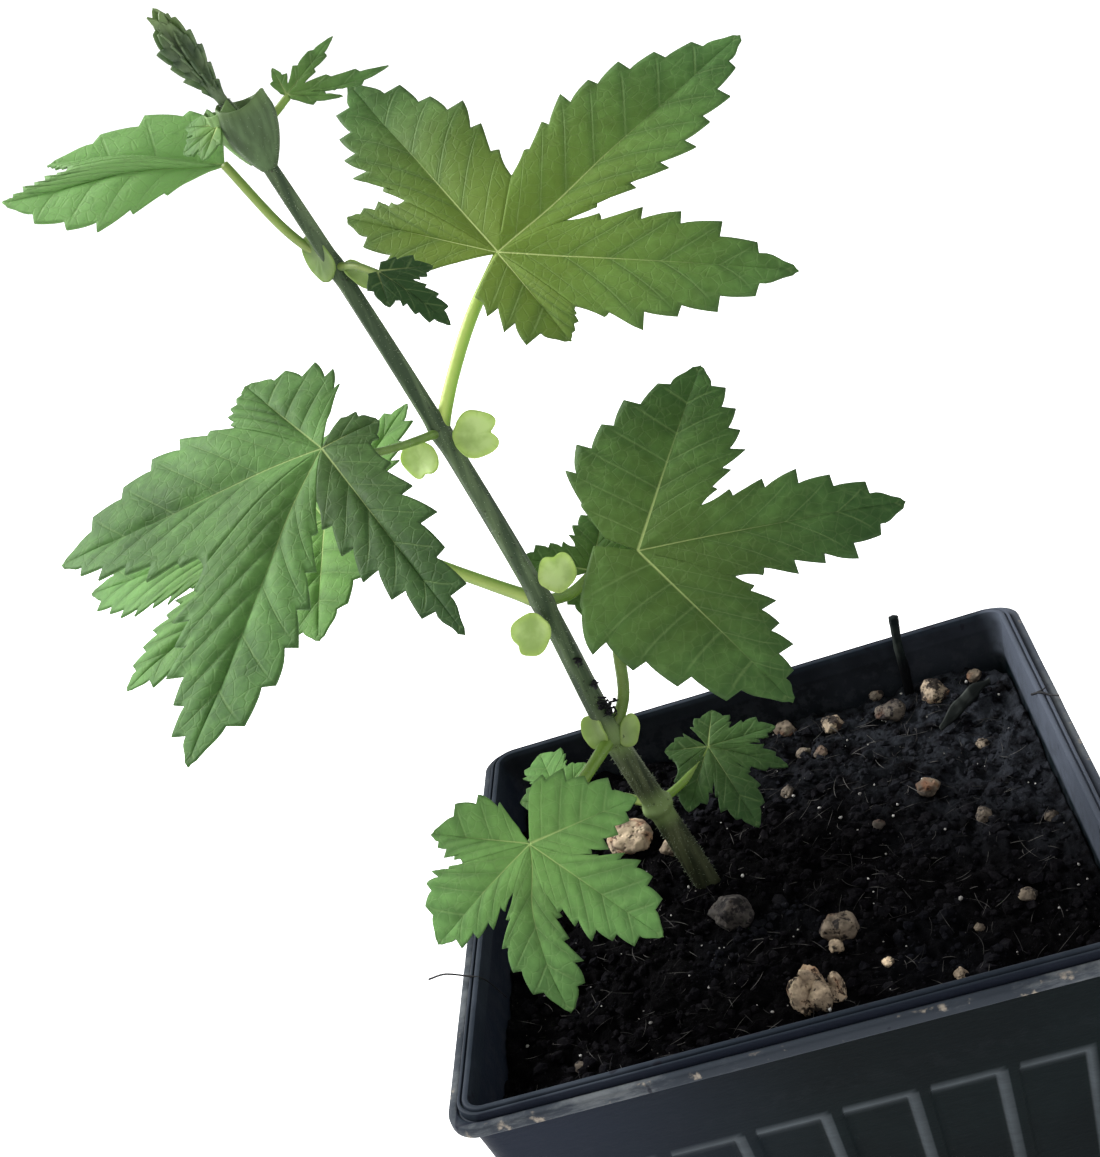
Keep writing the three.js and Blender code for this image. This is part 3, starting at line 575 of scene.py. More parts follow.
soil = {
    "top": 86.5, "low": 1.9, "gap": 0.4,  # its mean height, its underside, and the gap to the wall
    "relief": 0.8, "lumpSize": 5.5, "crumbSize": 2.1,
    "around": 420, "rings": 130,  # how finely its surface is divided
    "crumbs": 5200, "crumbSizes": (0.3, 2),  # how many, the least size and what is added to it
    "fibres": 620, "fibreLengths": (1, 6), "fibreRadius": 0.042,
    "specks": 130, "speckSizes": (0.22, 0.6),
    "wet": (0.0005, 0.0004, 0.0007), "damp": (0.0042, 0.0039, 0.0045),
    "patch": (0.006, 0.0066, 0.0088), "dry": (0.036, 0.040, 0.049), "fleck": (0.14, 0.13, 0.12),
    "crumbLight": 3.4, "roughness": 0.9, "gloss": 0.02,
    "fibreTints": ((0.012, 0.011, 0.011), (0.11, 0.105, 0.10)),
    "speckTints": ((0.22, 0.21, 0.2), (0.7, 0.69, 0.66)),
}


def soilHeight(x, y):
    # a few long waves laid over each other, with the fold |noise| twice for lumps and crumbs
    waves = (np.sin(x * 0.21 + 1.3) * np.cos(y * 0.17 - 0.4)
             + 0.6 * np.sin(x * 0.52 - y * 0.43 + 2.1) + 0.5 * np.cos(x * 0.83 + y * 0.71))
    flat = np.stack([x, y, np.zeros_like(x)], -1)
    lumps = 0.9 - np.abs(fractal(flat, soil["lumpSize"], 21, 2)) * 1.6
    crumbs = 0.5 - np.abs(fractal(flat, soil["crumbSize"], 31, 3)) * 1.1
    return soil["top"] + soil["relief"] * waves * 0.5 + 0.8 * lumps + 0.95 * crumbs - 0.6


def insideHalf(z):  # half-width of the soil, just inside the wall
    return wallHalf(z) - pot["wall"] - soil["gap"]


def soilShape():
    # rounded squares from the middle out to the wall, then down it and back under
    track = squareTrack(np.linspace(-1, 1, soil["around"] // 4 - 5), 6)
    reach = np.linspace(0, 1, soil["rings"]) ** 0.9
    edge = insideHalf(soil["top"])
    half = np.concatenate([reach * edge, insideHalf(np.array([80.0, 60, 30, 4])), [20, 0]])
    corner = np.minimum(np.maximum(half, 0.001) * 0.98, half * 6 / edge)
    corner = np.maximum(corner, 0.0005)
    z = np.concatenate([reach * 0, [80, 60, 30, 4], [soil["low"]] * 2])
    points = squarePoints(track, half, corner, z)
    top = points[:soil["rings"]]
    top[..., 2] = soilHeight(top[..., 0], top[..., 1])
    rows, cols = points.shape[:2]
    quads = gridFaces(rows, cols, loop=True)[:, ::-1]
    return weld(points.reshape(-1, 3), quads)


def lumpCloud(centres, sizes, seed, squash=0.75):
    # many icosahedra, stretched and turned at random, each corner pushed in or out by a random
    # share of its radius
    roll = np.random.default_rng(seed)
    g = (1 + 5**0.5) / 2
    base = unit(np.array([(-1, g, 0), (1, g, 0), (-1, -g, 0), (1, -g, 0), (0, -1, g), (0, 1, g),
                          (0, -1, -g), (0, 1, -g), (g, 0, -1), (g, 0, 1), (-g, 0, -1),
                          (-g, 0, 1)], float))
    faces = np.array([(0, 11, 5), (0, 5, 1), (0, 1, 7), (0, 7, 10), (0, 10, 11), (1, 5, 9),
                      (5, 11, 4), (11, 10, 2), (10, 7, 6), (7, 1, 8), (3, 9, 4), (3, 4, 2),
                      (3, 2, 6), (3, 6, 8), (3, 8, 9), (4, 9, 5), (2, 4, 11), (6, 2, 10),
                      (8, 6, 7), (9, 8, 1)])
    count = len(centres)
    push = roll.uniform(0.7, 1.2, (count, 12, 1))
    stretch = roll.uniform(0.7, 1.25, (count, 1, 3)) * np.array([1, 1, squash])
    turn = roll.uniform(0, 2 * np.pi, (count, 1))
    p = base[None] * push * stretch * np.asarray(sizes)[:, None, None] / 2
    x = p[..., 0] * np.cos(turn) - p[..., 1] * np.sin(turn)
    y = p[..., 0] * np.sin(turn) + p[..., 1] * np.cos(turn)
    p = np.stack([x, y, p[..., 2]], -1) + np.asarray(centres)[:, None]
    tris = faces[None] + (np.arange(count) * 12)[:, None, None]
    return p.reshape(-1, 3), tris.reshape(-1, 3)


def soilSpots(count, seed, margin=1.5, lift=0.2):  # random places on the soil
    roll = np.random.default_rng(seed)
    half = insideHalf(soil["top"]) - margin
    xy = roll.uniform(-half, half, (count, 2))
    far = np.hypot(*np.maximum(np.abs(xy) - (half - 6), 0).T) > 6
    xy[far] *= 0.85
    return np.stack([xy[:, 0], xy[:, 1], soilHeight(xy[:, 0], xy[:, 1]) + lift], -1)


def fibreCloud(count, seed, lengths, radius, spots, rise=0.5):
    # thin three-sided strands on arcs of random bend, lying where the spots are; they thin
    # towards both ends with the cube of the way out
    roll = np.random.default_rng(seed)
    steps = 7
    s = np.linspace(-0.5, 0.5, steps)[None, :]
    length = roll.uniform(*lengths, (count, 1))
    heading = roll.uniform(0, 2 * np.pi, (count, 1))
    bend = roll.uniform(-1, 1, (count, 1))
    angle = heading + bend * s
    climb = roll.uniform(-0.25, 0.25, (count, 1)) + 0 * s
    step = np.stack([np.cos(angle), np.sin(angle), climb], -1)
    path = np.cumsum(step * (length / steps)[..., None], axis=1)
    path = path - path.mean(axis=1, keepdims=True) + spots[:, None]
    path[..., 2] += rise * roll.uniform(0, 1, (count, 1))
    along = unit(np.gradient(path, axis=1))
    side = unit(np.cross(along, [0, 0, 1]))
    up = np.cross(side, along)
    turn = np.arange(3) * 2 * np.pi / 3
    thick = radius * roll.uniform(0.6, 1.4, (count, 1)) * (1 - 0.8 * np.abs(s * 2) ** 3)
    rings = path[:, :, None] + thick[:, :, None, None] * (
        np.cos(turn)[:, None] * up[:, :, None] + np.sin(turn)[:, None] * side[:, :, None])
    last = 3 * steps - 3  # the first corner of the last ring
    ends = [[0, 2, 1], [last, last + 1, last + 2]]
    tris = np.concatenate([triangles(gridFaces(steps, 3, loop=True)), ends])
    every = tris[None] + (np.arange(count) * steps * 3)[:, None, None]
    return rings.reshape(-1, 3), every.reshape(-1, 3)


def soilFinish(name, light=1.0):
    # damp and near black, its first tints lifted by light; drier towards the far right corner
    f = Finish(name)
    wet, damp, patchTint = (tuple(n * light for n in soil[k]) for k in ("wet", "damp", "patch"))
    patch = f.grain(60, 3, 0.5)
    x, y, _ = f.parts(f.place())
    dry = (x * 0.9 + y * 0.9).step(0.008, 0.062) * f.grain(300, 4, 0.65).step(0.35, 0.64)
    spark = (1 - f.cells(900.0).step(0.05, 0.12)) * f.grain(150, 2).step(0.52, 0.6)
    colour = f.layers(f.mix(f.grain(380, 5, 0.65).step(0.35, 0.75), wet, damp),
                      (patch.step(0.5, 0.75) * 0.5, patchTint), (dry * 0.85, soil["dry"]),
                      (spark * 0.6, soil["fleck"]))
    skin = f.principled(colour, soil["roughness"] - patch * 0.25,
                        f.bump(f.grain(1500, 6, 0.7), 0.9, 0.0008),
                        Specular_IOR_Level=soil["gloss"])
    return f.surface(skin)


def fibreFinish(name, dark, pale):  # dry strands and bark, spotted from dark to pale
    f = Finish(name)
    return f.surface(f.principled(f.mix(f.grain(260, 2).step(0.45, 0.62), dark, pale), 0.7,
                                  Specular_IOR_Level=0.2))


def speckFinish():  # small mineral grains, off-white
    f = Finish("speck_finish")
    colour = f.mix(f.grain(700, 3).step(0.4, 0.7), *soil["speckTints"])
    return f.surface(f.principled(colour, 0.8, f.bump(f.grain(4000), 0.4, 0.0002)))


points, tris, _ = soilShape()
addPiece("soil_bed", points, tris, soilFinish("soil_finish"), ["soil"])
least, more = soil["crumbSizes"]
sizes = least + more * np.random.default_rng(4).uniform(0, 1, soil["crumbs"]) ** 5  # few are large
points, tris = lumpCloud(soilSpots(soil["crumbs"], 12), sizes, 13)
addPiece("soil_crumbs", points, tris, soilFinish("crumb_finish", soil["crumbLight"]),
         sharp=30)
spots = soilSpots(soil["fibres"], 16, 3.2)
points, tris = fibreCloud(soil["fibres"], 15, soil["fibreLengths"], soil["fibreRadius"],
                          spots, 0.8)
addPiece("soil_fibres", points, tris, fibreFinish("fibre_finish", *soil["fibreTints"]))
least, more = soil["speckSizes"]
sizes = least + more * np.random.default_rng(19).uniform(0, 1, soil["specks"]) ** 4
points, tris = lumpCloud(soilSpots(soil["specks"], 18, lift=0.5), sizes, 20, 0.9)
addPiece("soil_specks", points, tris, speckFinish())
print("soil ready")

stones = {
    "lumps": [  # node number, then x, y, width, length, height, turn in degrees of each lump
        (1, [(-22.2, 18.8, 6.6, 7.8, 5.4, 20)]),
        (2, [(-15.9, 13.9, 3, 3.4, 2.8, 0)]),
        (3, [(-7.8, -6.9, 5.6, 6.6, 4.6, 35)]),
        (4, [(6.4, -16.3, 4.2, 4.9, 4, 70)]),
        (5, [(1.5, -27.8, 3.2, 3.6, 7.2, 20), (0.1, -29.2, 3.4, 4, 5.6, 0),
             (2.3, -30, 3.4, 3.6, 4.8, 0), (4.7, -28.6, 2, 2.4, 5.2, 0),
             (3.2, -29.2, 4.4, 3, 3, -15)]),
        (6, [(20, -31.3, 1.8, 2.2, 1.6, 0)]),
        (7, [(23.4, 10.5, 3.1, 3.5, 3, 50)]),
        (8, [(28.8, 35.6, 4, 4.8, 4.2, 15)]),
        (9, [(21.4, 34, 3.8, 4.6, 3.2, 80)]),
        (10, [(12.1, 35.4, 3.2, 3.6, 2.8, 40)]),
        (11, [(29.5, 0.3, 2.2, 2.6, 2, 10)]),
    ],
    "sunk": 0.3,  # share of its height that a stone lies in the soil
    "planes": 17, "cuts": (0.80, 1.02), "most": 1.12,  # how many cuts, how far out, and the limit
    "rough": (0.10, 0.055),  # height of the coarse and the fine roughness
    # each tint is its first triple times how beige the stone is, plus its second
    "deep": ((0.17, 0.125, 0.085), (0.012, 0.012, 0.013)),
    "beige": ((0.66, 0.51, 0.34), (0.03, 0.03, 0.033)),
    "rust": ((0.42, 0.19, 0.085), (0.02, 0.01, 0.01)),
    "soiled": (0.006, 0.005, 0.006),
    # how beige, how rusty and how soiled each one is
    "tint": {1: (0.85, 0.5, 0.3), 2: (0.6, 0.3, 0.6), 3: (0.05, 0.5, 1.0), 4: (0.3, 0.5, 0.6),
             5: (0.95, 0.7, 0.7), 6: (0.6, 0.2, 0.5), 7: (0.3, 1.3, 0.4), 8: (0.52, 1.3, 1.2),
             9: (0.14, 0.9, 1.3), 10: (0.5, 0.9, 1), 11: (0.2, 0.1, 0.9)},
    "small": [  # further bits too small for a node: x, y, size, how pale
        (5.6, -19.9, 2.1, 0.9), (11.6, -25, 1.5, 1.6), (4.3, 37.9, 3, 0.3), (6.6, 31.8, 2.2, 0.2),
        (9.3, 27.9, 2.2, 0.2), (2.9, 20.9, 2.1, 0.2), (31.3, -19.7, 2.1, 0.3), (20, 39.5, 2, 0.2),
        (35.5, 37, 2.2, 0.4), (-38, -6, 1.8, 0.3), (33, 20, 1.8, 0.3), (15, 5, 1.6, 0.1),
        (38, -3, 1.7, 0.2), (24, -22, 1.3, 0.3), (-30, -30, 1.5, 0.2), (-14, -36, 1.4, 0.2),
    ],
}


def ballGrid(rows, cols):  # directions over a sphere, pole to pole, with both poles doubled
    up = np.linspace(-np.pi / 2, np.pi / 2, rows)[:, None]
    turn = np.linspace(0, 2 * np.pi, cols, endpoint=False)[None, :]
    flat = np.stack([np.cos(up) * np.cos(turn), np.cos(up) * np.sin(turn),
                     np.sin(up) + 0 * turn], -1)
    return flat.reshape(-1, 3), gridFaces(rows, cols, loop=True)


def stoneShape(lump, seed, lift):
    # an ellipsoid cut by random planes: the radius one way is the least of each plane's
    # distance over its slant, then made rough by two noises
    x, y, width, length, height, turn = lump
    out, quads = ballGrid(26, 36)
    roll = np.random.default_rng(seed)
    slants = out @ unit(roll.normal(0, 1, (stones["planes"], 3))).T
    cuts = roll.uniform(*stones["cuts"], stones["planes"]) / np.maximum(slants, 0.05)
    reach = np.minimum(cuts.min(axis=1), stones["most"])
    coarse, fine = stones["rough"]
    reach = reach * (1 + coarse * noise(out * 2.2, 1.1, seed)
                     + fine * fractal(out * 2.2, 0.45, seed + 5, 2))
    p = out * reach[:, None] * np.array([width, length, height]) / 2
    angle = math.radians(turn)
    c, s = math.cos(angle), math.sin(angle)
    p = np.stack([p[:, 0] * c - p[:, 1] * s, p[:, 0] * s + p[:, 1] * c, p[:, 2]], -1)
    return weld(p + [x, y, lift], quads)[:2]


def stoneFinish(name, beige, rusty, soiled=0.5):
    # veined beige, then rusty spots, then soil in blotches that grow with soiled
    f = Finish(name)
    deep, pale, rust = ([a * beige + b for a, b in zip(*stones[k])]
                        for k in ("deep", "beige", "rust"))
    vein = f.grain(420, 5, 0.6)
    soilMarks = f.grain(520, 5, 0.7).step(0.58 - 0.10 * soiled, 0.65 - 0.10 * soiled)
    base = f.layers(f.mix(vein.step(0.3, 0.7), deep, pale),
                    (f.grain(260, 3).step(0.5, 0.66) * min(rusty, 1), rust),
                    (soilMarks * 0.92, stones["soiled"]))
    height = vein * 0.8 + f.cells(1100.0).step(0.0, 0.4) * 0.5
    return f.surface(f.principled(base, 0.85, f.bump(height, 0.8, 0.0006),
                                  Specular_IOR_Level=0.2))


for number, lumps in stones["lumps"]:
    parts = [stoneShape(lump, 40 + number * 7 + k,
                        soil["top"] + lump[4] * (0.5 - stones["sunk"]))
             for k, lump in enumerate(lumps)]
    points, tris = joined(parts)
    addPiece(f"pebble_{number:02d}", points, tris,
             stoneFinish(f"stone_finish_{number:02d}", *stones["tint"][number]),
             [f"stone_{number:02d}"])
for k, (x, y, size, pale) in enumerate(stones["small"]):
    lift = float(soilHeight(np.array([x]), np.array([y]))[0]) + size * 0.15
    points, tris = stoneShape((x, y, size, size * 1.15, size * 0.85, k * 40), 300 + k, lift)
    addPiece(f"grit_{k + 1:02d}", points, tris,
             stoneFinish(f"grit_finish_{k + 1:02d}", pale, k % 3 * 0.4))

twig = {
    "foot": (24.6, 39.6, 82), "head": (26.2, 40.2, 99.9), "radii": (0.7, 0.8, 0.7, 0.75),
    "tints": ((0.006, 0.009, 0.009), (0.018, 0.022, 0.020)), "low": (0.002, 0.0022, 0.003),
}


def barkRipple(t, turn):  # long ridges that wander a little along the twig
    return 1 + 0.09 * np.sin(turn * 5 + t * 7) + 0.05 * np.sin(turn * 11 - t * 31) + 0 * t


def twigFinish():  # dark bark, darker near the soil
    f = Finish("twig_finish")
    bark = f.mix(f.grain(260, 2).step(0.45, 0.62), *twig["tints"])
    bark = f.mix(f.parts(f.place())[2].step(0.0905, 0.0945), twig["low"], bark)
    return f.surface(f.principled(bark, 0.8, f.bump(f.grain(1500), 0.4, 0.0002),
                                  Specular_IOR_Level=0.06))


foot, head = np.array(twig["foot"]), np.array(twig["head"])
bends = [lerp(foot, head, 0.45) + [0.12, 0, 0], lerp(foot, head, 0.7) - [0.1, 0.1, 0]]
points, tris, _, _ = tube([foot, *bends, head], twig["radii"], 18, 46, barkRipple)
addPiece("dry_twig", points, tris, twigFinish(), ["rim_twig"])
print("stones and twig ready")

stem = {
    "foot": (-9, 4.2, 72), "collar": (-11.2, 4, 86.5), "nodeA": (-13.8, 3.5, 101.2),
    "nodeB": (-16.1, 3, 114.3), "nodeC": (-18.3, 2.6, 137.1), "nodeD": (-22.3, 1.9, 164.4),
    "nodeE": (-26.6, 1.1, 189), "nodeF": (-30.2, 0.5, 207.5), "neck": (-31.2, 0.3, 211.8),
    "radii": (2, 1.9, 1.75, 1.6, 1.35, 1.2, 1.05, 0.9, 0.7),
    "swell": 0.2,  # share that the joints of the stem are thicker by
    "ridges": 6, "ridgeHeight": 0.045, "twist": 9,
    "hairs": 2600, "hairLength": 0.42, "hairRadius": 0.022,
    "look": {
        "green": ((0.026, 0.046, 0.021), (0.080, 0.118, 0.056)),
        "brown": ((0.024, 0.032, 0.014), (0.095, 0.110, 0.052)),  # the oldest part
        "foot": (0.012, 0.014, 0.006), "joint": (0.17, 0.25, 0.085), "wart": (0.02, 0.018, 0.014),
        "petiolePale": ((0.19, 0.33, 0.035), (0.72, 0.86, 0.24)),
        "petioleDull": ((0.055, 0.088, 0.026), (0.11, 0.165, 0.052)),
        "petioleGlow": (0.42, 0.62, 0.12),
        "hair": ((0.24, 0.31, 0.18), (0.42, 0.50, 0.34)),
    },
}
stemKnots = [np.array(stem[k]) for k in
             ("foot", "collar", "nodeA", "nodeB", "nodeC", "nodeD", "nodeE", "nodeF", "neck")]


def stemRipple(t, turn):
    # six ridges that twine slowly, and a swelling at each joint
    joint = np.abs(t * 8 - np.round(t * 8)) * 8
    swell = stem["swell"] * np.exp(-(joint / 0.5) ** 2) * (t > 0.2) * (t < 0.97)
    swell = swell * (1 + 0.9 * (t < 0.45))
    return 1 + swell + stem["ridgeHeight"] * np.cos(stem["ridges"] * turn + stem["twist"] * t)


def hairCloud(rings, out, count, seed, length, radius, low=0.0, lean=0.5):
    # four-cornered spikes standing on random points of a tube, above the share low of its
    # length, leaning at random
    roll = np.random.default_rng(seed)
    rows, cols = out.shape[:2]
    r = (low + (1 - low) * roll.uniform(0, 0.999, count)) * (rows - 1)
    c = roll.uniform(0, 1, count) * cols
    i, j = r.astype(int), c.astype(int)
    wr, wc = (r - i)[:, None], (c - j)[:, None]
    k = (j + 1) % cols
    j = j % cols

    def between(a):  # a blended over the four grid corners round each root
        return lerp(lerp(a[i, j], a[i, k], wc), lerp(a[i + 1, j], a[i + 1, k], wc), wr)

    root, away = between(rings), unit(between(out))
    tilt = unit(away + lean * roll.normal(0, 1, (count, 3)) * 0.6)
    side = unit(np.cross(tilt, roll.normal(0, 1, (count, 3))))
    other = np.cross(tilt, side)
    tall = length * roll.uniform(0.4, 1.3, (count, 1))
    tip = root + tilt * tall
    turn = np.arange(3) * 2 * np.pi / 3
    foot = (root - away * 0.05)[:, None] + radius * (np.cos(turn)[:, None] * side[:, None]
                                                     + np.sin(turn)[:, None] * other[:, None])
    points = np.concatenate([foot, tip[:, None]], axis=1)
    tris = np.array([(0, 1, 3), (1, 2, 3), (2, 0, 3), (0, 2, 1)])
    every = tris[None] + (np.arange(count) * 4)[:, None, None]
    return points.reshape(-1, 3), every.reshape(-1, 3)


def stemFinish():
    # streaked green, brown below and soiled at the foot, paler round the two lowest joints,
    # with dark warts
    f, look = Finish("stem_finish"), stem["look"]
    z = f.parts(f.place())[2]
    streak, warts = f.streaks((900, 900, 90)), f.cells(850.0)
    base = f.mix(z.step(0.1, 0.125), f.mix(streak.step(0.35, 0.7), *look["brown"]),
                 f.mix(streak.step(0.35, 0.7), *look["green"]))
    base = f.mix((1 - z.step(0.086, 0.099)) * 0.65, base, look["foot"])
    for joint in ("nodeA", "nodeB"):
        gap = abs(z - stem[joint][2] * millimetre)
        base = f.mix((1 - gap.step(0.0008, 0.004)) * 0.75, base, look["joint"])
    base = f.mix((1 - warts.step(0.06, 0.16)) * 0.6, base, look["wart"])
    height = streak + (1 - warts.step(0.0, 0.25)) * 0.7
    return f.surface(f.principled(base, 0.62, f.bump(height, 0.5, 0.0003),
                                  Specular_IOR_Level=0.2))


def petioleFinish():
    # tone's first number is how pale a petiole is, its second the painted highlight: a paler
    # stripe on the side that faces the light
    f, look = Finish("petiole_finish"), stem["look"]
    light, highlightStripe, _ = f.marks("tone")
    dull = f.mix(f.grain(500, 4, 0.6).step(0.3, 0.7), *look["petioleDull"])
    colour = f.mix(light, dull, f.mix(highlightStripe, *look["petiolePale"]))
    skin = f.principled(colour, 0.5, f.bump(f.grain(1600, 3), 0.35, 0.0002))
    return f.surface(f.tissue(0.3, skin, look["petioleGlow"]))


def hairFinish():  # pale green bristles
    f = Finish("hair_finish")
    colour = f.mix(f.grain(300, 1).step(0.4, 0.6), *stem["look"]["hair"])
    return f.surface(f.principled(colour, 0.6))


hairs = hairFinish()
points, tris, rings, out = tube(stemKnots, stem["radii"], 36, 340, stemRipple)
addPiece("stem_skin", points, tris, stemFinish(), ["stem"])
points, tris = hairCloud(rings, out, stem["hairs"], 51, stem["hairLength"],
                         stem["hairRadius"], low=0.12)
addPiece("stem_hairs", points, tris, hairs)
print("stem ready")

